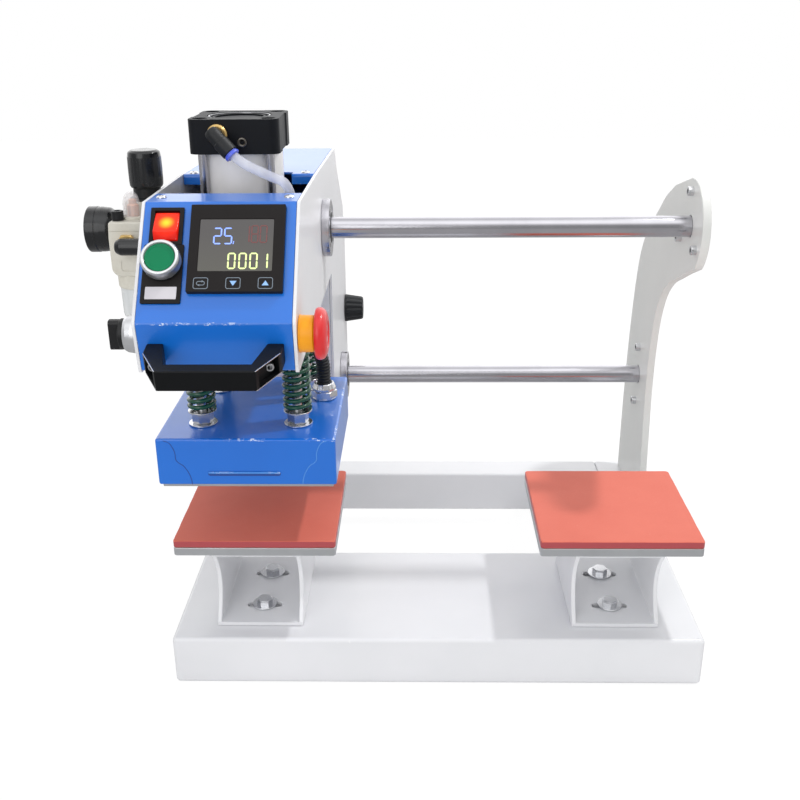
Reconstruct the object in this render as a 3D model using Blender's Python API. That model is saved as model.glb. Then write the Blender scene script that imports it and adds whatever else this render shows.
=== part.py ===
# Dual-station pneumatic heat press: a heated head on two rails is pushed down on either of two platens.
# Metres, +Z up, +Y to the rear. The origin is under the base, midway between the platens, at their mid-depth.

import math

import bmesh
import bpy
from mathutils import Matrix, Vector

# Clearances, shared by every fit
gap = 0.0003
overrun = 0.003
running_clearance = 0.001

# Base and rear frame
base_width = 0.500
base_depth = 0.162
base_front_y = -0.090
base_height = 0.050
base_wall = 0.003
base_edge_radius = 0.004
beam_width = 0.040
beam_wall = 0.0025
rear_frame_depth = 0.232

# Stations
platen_side = 0.150
platen_thickness = 0.008
platen_edge_radius = 0.001
pad_thickness = 0.007
pad_top_z = 0.146
bracket_width = 0.082
bracket_depth = 0.120
bracket_wall = 0.004
bracket_waist = 0.016
bracket_slot_length = 0.034
bolt_diameter = 0.008
bolt_across_flats = 0.013
bolt_head_height = 0.0053
bolt_washer_diameter = 0.024
bolt_washer_thickness = 0.002
bolt_reach = 0.014
bolt_spacing = 0.058

# Rails and arms
rail_diameter = 0.020
upper_rail_y = 0.066
upper_rail_z = 0.406
lower_rail_y = 0.226
lower_rail_z = 0.199
arm_inset = 0.0035
arm_thickness = 0.008
arm_nose_radius = 0.045
arm_bolt_circle_radius = 0.033
arm_bolt_head_diameter = 0.009
arm_bolt_head_height = 0.005
arm_depth = 0.228
arm_rise = upper_rail_z - base_height
# Depth behind the upper rail and height above the base, as shares of the arm's depth and rise
arm_front_shares = (
    (0.456, 0.0), (0.466, 0.08), (0.490, 0.24), (0.508, 0.40), (0.498, 0.54),
    (0.460, 0.65), (0.385, 0.735), (0.270, 0.795), (0.130, 0.835), (0.010, 0.868),
)
arm_back_shares = (
    (0.290, 1.078), (0.440, 1.030), (0.560, 0.975), (0.690, 0.918), (0.800, 0.855),
    (0.875, 0.780), (0.930, 0.660), (0.970, 0.500), (0.995, 0.300), (1.0, 0.120), (1.0, 0.0),
)
arm_nose_start_angle = 4.10
arm_nose_end_angle = 1.30

# Carriage: two side plates with folded covers between them
head_half_width = 0.061
plate_thickness = 0.0025
cover_thickness = 0.002
cover_bottom_y = -0.168
cover_bottom_z = 0.344
cover_bend_y = -0.174
cover_bend_z = 0.385
cover_top_y = -0.111
head_top_z = 0.4635
ledge_back_y = -0.075
roof_front_y = 0.021
roof_lip = 0.009
roof_back_y = 0.219
roof_fall = 0.0035
chamfer_y = 0.238
chamfer_fall = 0.0265
shoulder_y = 0.310
shoulder_fall = 0.0825
leg_back_y = 0.327
leg_back_z = 0.338
leg_bottom_z = 0.166
leg_front_y = 0.121
leg_top_front_y = 0.136
front_shelf = 0.104
back_shelf = 0.082
sheet_screw_diameter = 0.008
sheet_screw_height = 0.0022
sheet_screw_inset = 0.008

# Linear bearings
bearing_sleeve_diameter = 0.032
bearing_sleeve_length = 0.034
bearing_flange_diameter = 0.054
bearing_flange_thickness = 0.0075

# Air cylinder
press_y = -0.005
cap_side = 0.075
cap_height = 0.028
cap_corner_radius = 0.008
cap_recess_diameter = 0.054
cap_recess_depth = 0.0025
cap_corner_hole_diameter = 0.012
cap_corner_hole_depth = 0.006
barrel_length = 0.081
barrel_diameter = 0.070
cylinder_bore = 0.063
tie_rod_diameter = 0.007
tie_rod_offset = 0.02825
rod_diameter = 0.020
piston_length = 0.018
piston_clearance = 0.0006
mount_plate_thickness = 0.008
mount_plate_margin = 0.006
press_stroke = 0.058

# Press head below the cylinder
pressure_plate_side = 0.108
pressure_plate_thickness = 0.012
pressure_plate_clearance = 0.010
heater_side = 0.158
heater_height = 0.0443
heater_wall = 0.0015
heating_plate_thickness = 0.022
heating_plate_proud = 0.003
heating_plate_clearance = 0.0015
spring_offset = 0.043
spring_diameter = 0.026
spring_wire = 0.004
spring_length = 0.0834
spring_end_pitch = 0.0047
spring_turns = 12
spring_points_per_turn = 8
stud_diameter = 0.010
stud_washer_diameter = 0.0255
stud_washer_thickness = 0.0015
stud_nut_width = 0.017
stud_nut_height = 0.0105
stud_head_diameter = 0.015
stud_head_height = 0.006
gland_x = 0.061
gland_y = 0.015
gland_diameter = 0.023
gland_collar_height = 0.009
gland_height = 0.016
gland_nose_diameter = 0.019
conduit_diameter = 0.0135
conduit_groove = 0.0009
conduit_bore = 0.009
conduit_entry = 0.010
conduit_top_z = 0.405
conduit_top_x = 0.050
conduit_top_y = 0.012
conduit_rib_pitch = 0.0060
conduit_notch_half = 0.012

# Things on the sloped panel, placed from its centre
controller_side = 0.072
controller_lip = 0.007
controller_body_side = 0.066
controller_body_depth = 0.045
controller_x = 0.01475
controller_y = 0.0095
controller_edge_radius = 0.0015
rocker_x = -0.0400
rocker_y = 0.0290
rocker_bezel_width = 0.0255
rocker_bezel_height = 0.0310
rocker_bezel_proud = 0.002
rocker_opening_width = 0.0190
rocker_opening_height = 0.0256
rocker_body_depth = 0.020
rocker_half_length = 0.0117
rocker_ridge_drop = 0.0045
rocker_high = 0.0060
rocker_end = 0.0015
rocker_low = 0.0008
rocker_pivot_depth = 0.003
rocker_skirt = 0.005
start_x = -0.0405
start_y = -0.0020
start_bezel_diameter = 0.0295
start_bezel_height = 0.012
start_cap_diameter = 0.0225
start_cap_height = 0.0065
start_cap_recess = 0.001
start_travel = 0.0035
switch_body_diameter = 0.0220
switch_body_depth = 0.030
switch_wall = 0.002
legend_width = 0.030
legend_height = 0.048
legend_drop = 0.0085
legend_thickness = 0.0015

# Handle on the lower panel
handle_half_span = 0.0515
handle_bar_half_length = 0.036
handle_reach = 0.045
handle_bar_depth = 0.012
handle_foot_width = 0.0125
handle_height = 0.016
handle_edge_radius = 0.0015
handle_drop = 0.003

# Switches on the side plates
side_switch_y = -0.155
side_switch_z = 0.3715
estop_base_diameter = 0.029
estop_base_height = 0.012
estop_head_diameter = 0.040
estop_head_height = 0.010
estop_skirt_clearance = 0.001
estop_stem_diameter = 0.014
estop_travel = 0.004
side_switch_block = 0.020
side_switch_block_depth = 0.022
selector_bezel_diameter = 0.0295
selector_bezel_height = 0.010
selector_dial_diameter = 0.024
selector_dial_height = 0.004
selector_grip_length = 0.026
selector_grip_width = 0.009
selector_grip_height = 0.009
knob_y = 0.304
knob_z = 0.257
knob_diameter = 0.033
knob_nose_diameter = 0.027
knob_height = 0.022
knob_flute_count = 14
knob_flute_depth = 0.001
knob_spindle_diameter = 0.008
knob_spindle_depth = 0.014

# Air supply on the left of the head
air_x = -0.086
regulator_body_side = 0.034
regulator_height = 0.055
regulator_drop = 0.0175
regulator_y = 0.000
regulator_neck_diameter = 0.024
regulator_knob_diameter = 0.029
regulator_knob_height = 0.032
regulator_neck_height = 0.0105
lubricator_y = -0.043
lubricator_width = 0.0442
lubricator_depth = 0.034
lubricator_height = 0.0465
sight_dome_diameter = 0.0145
sight_dome_height = 0.022
sight_dome_x = -0.089
fill_plug_diameter = 0.010
fill_plug_height = 0.008
fill_plug_x = -0.099
bowl_diameter = 0.032
bowl_length = 0.044
bowl_wall = 0.0025
outlet_rise = 0.0285
outlet_shift = 0.0047
outlet_diameter = 0.014
outlet_reach = 0.012
gauge_diameter = 0.040
gauge_depth = 0.0237
gauge_stem_diameter = 0.012
gauge_stem_length = 0.0107
gauge_y = -0.008
gauge_rise = 0.030
gauge_recess = 0.005
gauge_rim = 0.0025
needle_length = 0.013
needle_width = 0.0016
needle_thickness = 0.0008
needle_hub_diameter = 0.005
needle_height = 0.0012
needle_rest_angle = math.pi / 4

# Fitting and tube at the cylinder's top, from the middle of the head
elbow_x = -0.014
elbow_drop = 0.0119
elbow_collar_diameter = 0.016
elbow_collar_height = 0.005
elbow_diameter = 0.012
elbow_reach = 0.012
elbow_leg = 0.020
elbow_leg_direction = Vector((0.68, -0.20, -0.70)).normalized()
tube_diameter = 0.008
valve_width = 0.022
valve_depth = 0.030
valve_height = 0.026
valve_x = 0.043
valve_y = -0.080
valve_port_diameter = 0.012
valve_port_height = 0.008

# Roundness of turned pieces
fine_sides = 36
round_sides = 24
small_sides = 16
screw_sides = 10

# Worked out from the sizes above; the head's bearings just clear the arms at both stations
arm_inner_x = base_width / 2 - arm_inset - arm_thickness
station_pitch = 2 * (arm_inner_x - running_clearance - bearing_flange_thickness - head_half_width)
head_x = -station_pitch / 2
inner_half_width = head_half_width - plate_thickness
cover_half_width = inner_half_width - gap
pad_bottom_z = pad_top_z - pad_thickness
platen_top_z = pad_bottom_z - gap
platen_bottom_z = platen_top_z - platen_thickness
bracket_bottom_z = base_height + gap
bracket_top_z = platen_bottom_z - gap
base_back_y = base_front_y + base_depth
base_mid_y = base_front_y + base_depth / 2
rear_y = base_back_y + rear_frame_depth
press_x = head_x
roof_back_z = head_top_z - roof_fall
chamfer_z = head_top_z - chamfer_fall
shoulder_z = head_top_z - shoulder_fall
regulator_top_z = head_top_z - regulator_drop
regulator_bottom_z = regulator_top_z - regulator_height
regulator_knob_bottom_z = regulator_top_z + regulator_neck_height
lubricator_bottom_z = regulator_bottom_z
lubricator_top_z = lubricator_bottom_z + lubricator_height
outlet_z = regulator_bottom_z + outlet_rise
gauge_z = regulator_bottom_z + gauge_rise

# The press head and the cylinder, stacked up from the pad
heating_plate_bottom_z = pad_top_z + running_clearance + press_stroke
heater_bottom_z = heating_plate_bottom_z + heating_plate_proud
heater_top_z = heater_bottom_z + heater_height
heating_plate_top_z = heating_plate_bottom_z + heating_plate_thickness
stud_washer_bottom_z = heater_top_z + gap
stud_nut_top_z = stud_washer_bottom_z + stud_washer_thickness + stud_nut_height
spring_seat_z = stud_nut_top_z + stud_washer_thickness
pressure_plate_bottom_z = spring_seat_z + spring_length
pressure_plate_top_z = pressure_plate_bottom_z + pressure_plate_thickness
mount_plate_bottom_z = pressure_plate_top_z + pressure_plate_clearance
mount_plate_top_z = mount_plate_bottom_z + mount_plate_thickness
lower_cap_bottom_z = mount_plate_top_z + gap
lower_cap_top_z = lower_cap_bottom_z + cap_height
barrel_bottom_z = lower_cap_top_z + gap
barrel_top_z = barrel_bottom_z + barrel_length
cap_bottom_z = barrel_top_z + gap
cylinder_top_z = cap_bottom_z + cap_height
piston_top_z = barrel_top_z - running_clearance
elbow_z = cylinder_top_z - elbow_drop

scene_objects = bpy.context.scene.collection.objects
homes = {}


def clear_scene():
    for obj in list(bpy.data.objects):
        bpy.data.objects.remove(obj, do_unlink=True)


def make_material(name, color, roughness, metallic=0.0):
    material = bpy.data.materials.new(name)
    material.use_nodes = True
    material.diffuse_color = (*color, 1.0)
    shader = material.node_tree.nodes["Principled BSDF"]
    shader.inputs["Base Color"].default_value = (*color, 1.0)
    shader.inputs["Roughness"].default_value = roughness
    shader.inputs["Metallic"].default_value = metallic
    return material


# Shapes, each a closed bmesh


def prism(outline, low, high, axis="X"):
    """A flat outline pushed from low to high along the axis."""
    shape = bmesh.new()
    order = {"X": (2, 0, 1), "Y": (0, 2, 1), "Z": (0, 1, 2)}[axis]
    rings = []
    for level in (low, high):
        corners = [(a, b, level) for a, b in outline]
        rings.append([shape.verts.new([corner[i] for i in order]) for corner in corners])
        shape.faces.new(rings[-1])
    for i, start in enumerate(rings[0]):
        after = (i + 1) % len(outline)
        shape.faces.new((start, rings[0][after], rings[1][after], rings[1][i]))
    bmesh.ops.recalc_face_normals(shape, faces=shape.faces)
    return shape


def block(low, high):
    """A box between two corners."""
    outline = ((low[0], low[1]), (high[0], low[1]), (high[0], high[1]), (low[0], high[1]))
    return prism(outline, low[2], high[2], "Z")


def turned(profile, sides, axis="Z", ring=False):
    """A profile of (radius, height) points turned round the axis; a ring's profile is closed by itself."""
    shape = bmesh.new()
    order = {"X": (2, 0, 1), "Y": (0, 2, 1), "Z": (0, 1, 2)}[axis]
    rows = []
    for radius, height in profile:
        count = sides if radius > 0 else 1
        row = []
        for k in range(count):
            angle = 2 * math.pi * (k + 0.5) / sides
            corner = (radius * math.cos(angle), radius * math.sin(angle), height)
            row.append(shape.verts.new([corner[i] for i in order]))
        rows.append(row)
    pairs = list(zip(rows, rows[1:]))
    if ring:
        pairs.append((rows[-1], rows[0]))
    for lower, upper in pairs:
        for k in range(sides):
            after = (k + 1) % sides
            corners = [lower[k % len(lower)], lower[after % len(lower)]]
            corners += [upper[after % len(upper)], upper[k % len(upper)]]
            unlike = list(dict.fromkeys(corners))
            if len(unlike) > 2:
                shape.faces.new(unlike)
    if not ring:
        for row in (rows[0], rows[-1]):
            if len(row) > 1:
                shape.faces.new(row)
    bmesh.ops.recalc_face_normals(shape, faces=shape.faces)
    return shape


def rod(radius, low, high, sides, axis="Z"):
    return turned(((radius, low), (radius, high)), sides, axis)


def moved(shape, x=0.0, y=0.0, z=0.0):
    bmesh.ops.translate(shape, verts=shape.verts, vec=(x, y, z))
    return shape


def placed(shape, matrix):
    shape.transform(matrix)
    return shape


def mirrored(shape):
    """The shape on the other side of the plane x = 0."""
    shape.transform(Matrix.Scale(-1, 4, (1, 0, 0)))
    bmesh.ops.recalc_face_normals(shape, faces=shape.faces)
    return shape


def together(*shapes):
    """Shapes that don't meet, in one mesh, for one cutter."""
    whole = bmesh.new()
    for shape in shapes:
        scratch = bpy.data.meshes.new("scratch")
        shape.to_mesh(scratch)
        shape.free()
        whole.from_mesh(scratch)
        bpy.data.meshes.remove(scratch)
    return whole


# Outlines


def rounded_rectangle(width, height, radius, steps=3):
    outline = []
    for quarter in range(4):
        side_x = 1 if quarter in (0, 3) else -1
        side_y = 1 if quarter in (0, 1) else -1
        for k in range(steps + 1):
            angle = math.pi / 2 * (quarter + k / steps)
            x = side_x * (width / 2 - radius) + radius * math.cos(angle)
            y = side_y * (height / 2 - radius) + radius * math.sin(angle)
            outline.append((x, y))
    return outline


def slot_outline(length, width, steps=8):
    outline = []
    for side in (1, -1):
        for k in range(steps + 1):
            angle = side * math.pi / 2 - math.pi * k / steps
            x = side * (length - width) / 2 + width / 2 * math.cos(angle)
            outline.append((x, width / 2 * math.sin(angle)))
    return outline


def folded(path, thickness):
    """The closed outline of a sheet folded along the path, to the path's left, or right if negative."""
    points = [Vector(point) for point in path]
    inner = []
    for i, point in enumerate(points):
        normals = []
        for start, end in ((i - 1, i), (i, i + 1)):
            if start < 0 or end >= len(points):
                continue
            along = (points[end] - points[start]).normalized()
            normals.append(Vector((-along.y, along.x)))
        middle = sum(normals, Vector((0.0, 0.0))).normalized()
        inner.append(point + middle * (thickness / middle.dot(normals[0])))
    return [tuple(point) for point in points + inner[::-1]]


def arc(center, radius, start, end, steps):
    return [
        (
            center[0] + radius * math.cos(start + (end - start) * k / steps),
            center[1] + radius * math.sin(start + (end - start) * k / steps),
        )
        for k in range(steps + 1)
    ]


# Objects


def joint_empty(name, at, parent=None):
    empty = bpy.data.objects.new(name, None)
    scene_objects.link(empty)
    homes[name] = Vector(at)
    empty.parent = parent
    empty.location = homes[name] - (homes[parent.name] if parent else Vector())
    return empty


def helper(name, shape, carrier):
    """A hidden mesh that a Boolean of the carrier uses."""
    mesh = bpy.data.meshes.new(name)
    shape.to_mesh(mesh)
    shape.free()
    obj = bpy.data.objects.new(name, mesh)
    scene_objects.link(obj)
    obj.parent = carrier
    obj.hide_render = True
    obj.display_type = "WIRE"
    return obj


def piece(
    name, shape, material, parent=None, at=(0, 0, 0), tilt=0.0, adds=(), cuts=(), edge=0.0, edge_steps=1
):
    """One sub-part: a shape with rounded edges, other shapes joined to it, and others cut from it."""
    mesh = bpy.data.meshes.new(name)
    shape.to_mesh(mesh)
    shape.free()
    mesh.materials.append(material)
    mesh.shade_smooth()
    mesh.set_sharp_from_angle(angle=math.radians(35))
    obj = bpy.data.objects.new(name, mesh)
    scene_objects.link(obj)
    obj.parent = parent
    obj.location = Vector(at) - (homes[parent.name] if parent else Vector())
    obj.rotation_euler = (tilt, 0, 0)
    if edge:
        rounding = obj.modifiers.new("rounded edges", "BEVEL")
        rounding.width = edge
        rounding.segments = edge_steps
        rounding.limit_method = "ANGLE"
        rounding.angle_limit = math.radians(40)
    for operation, shapes in (("UNION", adds), ("DIFFERENCE", cuts)):
        for i, other in enumerate(shapes):
            boolean = obj.modifiers.new(f"{operation.lower()} {i + 1}", "BOOLEAN")
            boolean.operation = operation
            boolean.solver = "EXACT"
            boolean.object = helper(f"{name}_{operation.lower()}_{i + 1}", other, obj)
    return obj


def tube(name, points, diameter, material, parent, at=(0, 0, 0), resolution=2, swell=None):
    """A round tube along points, with filled ends; swell gives each point's share of the radius."""
    curve = bpy.data.curves.new(name, "CURVE")
    curve.dimensions = "3D"
    curve.bevel_depth = diameter / 2
    curve.bevel_resolution = resolution
    curve.use_fill_caps = True
    curve.materials.append(material)
    spline = curve.splines.new("POLY")
    spline.points.add(len(points) - 1)
    for k, point in enumerate(points):
        spline.points[k].co = (*point, 1.0)
        spline.points[k].radius = swell[k] if swell else 1.0
    obj = bpy.data.objects.new(name, curve)
    scene_objects.link(obj)
    obj.parent = parent
    obj.location = Vector(at) - (homes[parent.name] if parent else Vector())
    return obj


def smooth_route(points, spacing):
    """Points at even steps along a smooth curve through the route's points, with straight ends."""
    fine_steps = 40
    fine = []
    for a, b, c, d in zip(points, points[1:], points[2:], points[3:]):
        for k in range(fine_steps):
            t = k / fine_steps
            bend = (2 * a - 5 * b + 4 * c - d) * t**2 + (3 * b - a - 3 * c + d) * t**3
            fine.append(0.5 * (2 * b + (c - a) * t + bend))
    fine.append(points[-2])
    length = sum((b - a).length for a, b in zip(fine, fine[1:]))
    count = max(2, round(length / spacing))
    route = [fine[0]]
    walked = 0.0
    for a, b in zip(fine, fine[1:]):
        walked += (b - a).length
        if walked >= length * len(route) / count and len(route) < count:
            route.append(b)
    return [points[0], *route, fine[-1], points[-1]]


clear_scene()

white_paint = make_material("white_paint", (0.82, 0.83, 0.85), 0.38)
blue_paint = make_material("blue_paint", (0.045, 0.19, 0.62), 0.36)
chrome = make_material("chrome", (0.80, 0.81, 0.83), 0.12, 1.0)
steel = make_material("steel", (0.55, 0.56, 0.58), 0.35, 1.0)
aluminium = make_material("aluminium", (0.74, 0.75, 0.77), 0.40, 1.0)
black_metal = make_material("black_metal", (0.02, 0.02, 0.023), 0.35, 0.6)
silicone = make_material("silicone", (0.68, 0.13, 0.09), 0.65)
black_plastic = make_material("black_plastic", (0.02, 0.02, 0.023), 0.42)
cream_paint = make_material("cream_paint", (0.72, 0.70, 0.62), 0.45)
clear_plastic = make_material("clear_plastic", (0.75, 0.80, 0.85), 0.10)
red_plastic = make_material("red_plastic", (0.75, 0.03, 0.02), 0.30)
green_plastic = make_material("green_plastic", (0.03, 0.50, 0.26), 0.35)
yellow_plastic = make_material("yellow_plastic", (0.90, 0.48, 0.02), 0.38)
spring_paint = make_material("spring_paint", (0.012, 0.11, 0.075), 0.35)

# Joint axes
carriage = joint_empty("carriage_axis", (head_x, upper_rail_y, upper_rail_z))
press = joint_empty("press_axis", (press_x, press_y, pressure_plate_bottom_z), carriage)
head_origin = (head_x, 0, 0)


# Base and rear frame


def build_base():
    half = base_width / 2
    bolt_holes = []
    for side in (-1, 1):
        for bolt_side in (-1, 1):
            hole = rod(bolt_diameter / 2 + gap, -overrun, base_wall + overrun, screw_sides)
            y = base_mid_y + bolt_side * bolt_spacing / 2
            bolt_holes.append(moved(hole, side * station_pitch / 2, y, base_height - base_wall))
    hollow = block(
        (-half + base_wall, base_front_y + base_wall, base_wall),
        (half - base_wall, base_back_y - base_wall, base_height - base_wall),
    )
    shell = block((-half, base_front_y, 0), (half, base_back_y, base_height))
    piece(
        "base_beam", shell, white_paint, edge=base_edge_radius, edge_steps=2,
        cuts=(hollow, together(*bolt_holes)),
    )
    side_in = half - beam_width
    for name, side in (("left_side_beam", -1), ("right_side_beam", 1)):
        inside, outside = sorted((side * side_in, side * half))
        shape = block((inside, base_back_y + gap, 0), (outside, rear_y, base_height))
        bore = block(
            (inside + beam_wall, base_back_y - overrun, beam_wall),
            (outside - beam_wall, rear_y - beam_wall, base_height - beam_wall),
        )
        piece(name, shape, white_paint, edge=base_edge_radius / 2, cuts=(bore,))
    reach = side_in - gap
    shape = block((-reach, rear_y - beam_width, 0), (reach, rear_y, base_height))
    bore = block(
        (-reach - overrun, rear_y - beam_width + beam_wall, beam_wall),
        (reach + overrun, rear_y - beam_wall, base_height - beam_wall),
    )
    piece("rear_beam", shape, white_paint, edge=base_edge_radius / 2, cuts=(bore,))


def arm_outline():
    nose_center = (upper_rail_y, upper_rail_z)
    front = [(upper_rail_y + arm_depth * y, base_height + gap + arm_rise * z) for y, z in arm_front_shares]
    nose = arc(nose_center, arm_nose_radius, arm_nose_start_angle, arm_nose_end_angle, round_sides // 2)
    back = [(upper_rail_y + arm_depth * y, base_height + gap + arm_rise * z) for y, z in arm_back_shares]
    return front + nose + back


def build_arms():
    bore_radius = rail_diameter / 2 + gap
    for name, side in (("left_arm", -1), ("right_arm", 1)):
        inner, outer = side * arm_inner_x, side * (arm_inner_x + arm_thickness)
        low, high = sorted((inner, outer))
        bores = [
            moved(rod(bore_radius, low - overrun, high + overrun, round_sides, "X"), 0, y, z)
            for y, z in ((upper_rail_y, upper_rail_z), (lower_rail_y, lower_rail_z))
        ]
        bolts = []
        for y, z, angles in (
            (upper_rail_y, upper_rail_z, (90, 210, 330)),
            (lower_rail_y, lower_rail_z, (90, 270)),
        ):
            for angle in angles:
                turn = math.radians(angle)
                ends = sorted((inner - side * arm_bolt_head_height, inner + side * arm_thickness / 2))
                bolt = rod(arm_bolt_head_diameter / 2, *ends, screw_sides, "X")
                bolt_y = y + arm_bolt_circle_radius * math.cos(turn)
                bolts.append(moved(bolt, 0, bolt_y, z + arm_bolt_circle_radius * math.sin(turn)))
        piece(
            name, prism(arm_outline(), low, high), white_paint,
            adds=(together(*bolts),), cuts=(together(*bores),),
        )


def build_rails():
    reach = arm_inner_x + arm_thickness
    bevel = running_clearance
    radius = rail_diameter / 2
    profile = (
        (radius - bevel, -reach), (radius, -reach + bevel),
        (radius, reach - bevel), (radius - bevel, reach),
    )
    piece("upper_rail", turned(profile, round_sides, "X"), chrome, at=(0, upper_rail_y, upper_rail_z))
    piece("lower_rail", turned(profile, round_sides, "X"), chrome, at=(0, lower_rail_y, lower_rail_z))


def bracket_outline():
    height = bracket_top_z - bracket_bottom_z
    half = bracket_depth / 2
    steps = 10
    front = []
    for k in range(steps + 1):
        share = k / steps
        z = bracket_wall + (height - 2 * bracket_wall) * share
        front.append((-half + bracket_waist * math.sin(math.pi * share), bracket_bottom_z + z))
    front = [(-half, bracket_bottom_z), *front, (-half, bracket_top_z)]
    back = [(-y, z) for y, z in reversed(front)]
    return front + back


def build_stations():
    half = platen_side / 2
    bracket_half = bracket_width / 2
    for word, side in (("left", -1), ("right", 1)):
        x = side * station_pitch / 2
        tunnel = block(
            (-bracket_half + bracket_wall, -bracket_depth, bracket_bottom_z + bracket_wall),
            (bracket_half - bracket_wall, bracket_depth, bracket_top_z - bracket_wall),
        )
        slots = []
        for bolt_side in (-1, 1):
            slot = prism(
                slot_outline(bracket_slot_length, bolt_diameter + running_clearance),
                bracket_bottom_z - overrun, bracket_bottom_z + bracket_wall + overrun, "Z",
            )
            slots.append(moved(slot, 0, bolt_side * bolt_spacing / 2))
        piece(
            f"{word}_bracket", prism(bracket_outline(), -bracket_half, bracket_half), white_paint,
            at=(x, base_mid_y, 0), cuts=(tunnel, together(*slots)),
        )
        piece(
            f"{word}_platen", block((-half, -half, platen_bottom_z), (half, half, platen_top_z)), aluminium,
            at=(x, 0, 0), edge=platen_edge_radius,
        )
        piece(
            f"{word}_pad", block((-half, -half, pad_bottom_z), (half, half, pad_top_z)), silicone,
            at=(x, 0, 0), edge=platen_edge_radius,
        )
        for row, bolt_side in (("front", -1), ("back", 1)):
            build_bracket_bolt(f"{word}_{row}_bolt", x, base_mid_y + bolt_side * bolt_spacing / 2)


def build_bracket_bolt(name, x, y):
    seat = bracket_bottom_z + bracket_wall + gap
    washer_top = seat + bolt_washer_thickness
    head_top = washer_top + bolt_head_height
    washer = rod(bolt_washer_diameter / 2, seat, washer_top, small_sides)
    head = rod(bolt_across_flats / 2 / math.cos(math.pi / 6), washer_top - gap, head_top, 6)
    shank = rod(bolt_diameter / 2, seat - bolt_reach, washer_top - gap, screw_sides)
    piece(name, washer, chrome, at=(x, y, 0), adds=(head, shank))


# Carriage: plates, covers and bearings


def side_plate_outline():
    return [
        (cover_bottom_y, cover_bottom_z), (cover_bend_y, cover_bend_z), (cover_top_y, head_top_z),
        (roof_front_y, head_top_z), (roof_back_y, roof_back_z), (chamfer_y, chamfer_z),
        (shoulder_y, shoulder_z), (leg_back_y, leg_back_z), (leg_back_y, leg_bottom_z),
        (leg_front_y, leg_bottom_z), (leg_top_front_y, cover_bottom_z),
    ]


def build_side_plates():
    for name, side in (("left_side_plate", -1), ("right_side_plate", 1)):
        low, high = sorted((side * inner_half_width, side * head_half_width))
        through = (low - overrun, high + overrun)
        sleeve = bearing_sleeve_diameter / 2 + gap
        holes = [
            moved(rod(sleeve, *through, round_sides, "X"), 0, y, z)
            for y, z in ((upper_rail_y, upper_rail_z), (lower_rail_y, lower_rail_z))
        ]
        switch = rod(switch_body_diameter / 2 + gap, *through, small_sides, "X")
        holes.append(moved(switch, 0, side_switch_y, side_switch_z))
        if side > 0:
            spindle = rod(knob_spindle_diameter / 2 + gap, *through, screw_sides, "X")
            holes.append(moved(spindle, 0, knob_y, knob_z))
        piece(
            name, prism(side_plate_outline(), low, high), white_paint, carriage, head_origin,
            cuts=(together(*holes),),
        )


panel_run = Vector((0, cover_top_y - cover_bend_y, head_top_z - cover_bend_z))
panel_tilt = math.atan2(panel_run.z, panel_run.y)
panel_center = Vector((0, (cover_top_y + cover_bend_y) / 2, (head_top_z + cover_bend_z) / 2))
panel_matrix = Matrix.Translation(panel_center) @ Matrix.Rotation(panel_tilt, 4, "X")
low_panel_run = Vector((0, cover_bend_y - cover_bottom_y, cover_bend_z - cover_bottom_z))
low_panel_tilt = math.atan2(low_panel_run.z, low_panel_run.y)
low_panel_center = Vector((0, (cover_bend_y + cover_bottom_y) / 2, (cover_bend_z + cover_bottom_z) / 2))


def on_panel(x, y, z=0.0):
    """A place on the sloped panel, in world coordinates."""
    return Vector(head_origin) + panel_matrix @ Vector((x, y, z))


def screw_heads(places, z):
    """Pan heads that stand on a sheet, sunk a little into it."""
    ends = (z - cover_thickness / 2, z + sheet_screw_height)
    return together(*[moved(rod(sheet_screw_diameter / 2, *ends, screw_sides), x, y) for x, y in places])


def build_front_cover():
    path = (
        (ledge_back_y, head_top_z), (cover_top_y, head_top_z), (cover_bend_y, cover_bend_z),
        (cover_bottom_y, cover_bottom_z + cover_thickness),
        (cover_bottom_y + front_shelf, cover_bottom_z + cover_thickness),
    )
    outline = folded(path, cover_thickness)
    depth = cover_thickness + overrun
    body_half = controller_body_side / 2 + gap
    controller_hole = block((-body_half, -body_half, -depth), (body_half, body_half, overrun))
    controller_hole = moved(controller_hole, controller_x, controller_y)
    half_width = rocker_opening_width / 2 + switch_wall / 2 + gap
    half_height = rocker_opening_height / 2 + switch_wall / 2 + gap
    rocker_hole = block((-half_width, -half_height, -depth), (half_width, half_height, overrun))
    rocker_hole = moved(rocker_hole, rocker_x, rocker_y)
    start_hole = moved(rod(switch_body_diameter / 2 + gap, -depth, overrun, small_sides), start_x, start_y)
    openings = placed(together(controller_hole, rocker_hole, start_hole), panel_matrix)
    screw_x = cover_half_width - sheet_screw_inset
    screw_y = (ledge_back_y + cover_top_y) / 2
    piece(
        "front_cover", prism(outline, -cover_half_width, cover_half_width), blue_paint, carriage, head_origin,
        adds=(screw_heads(((-screw_x, screw_y), (screw_x, screw_y)), head_top_z),), cuts=(openings,),
    )


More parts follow.
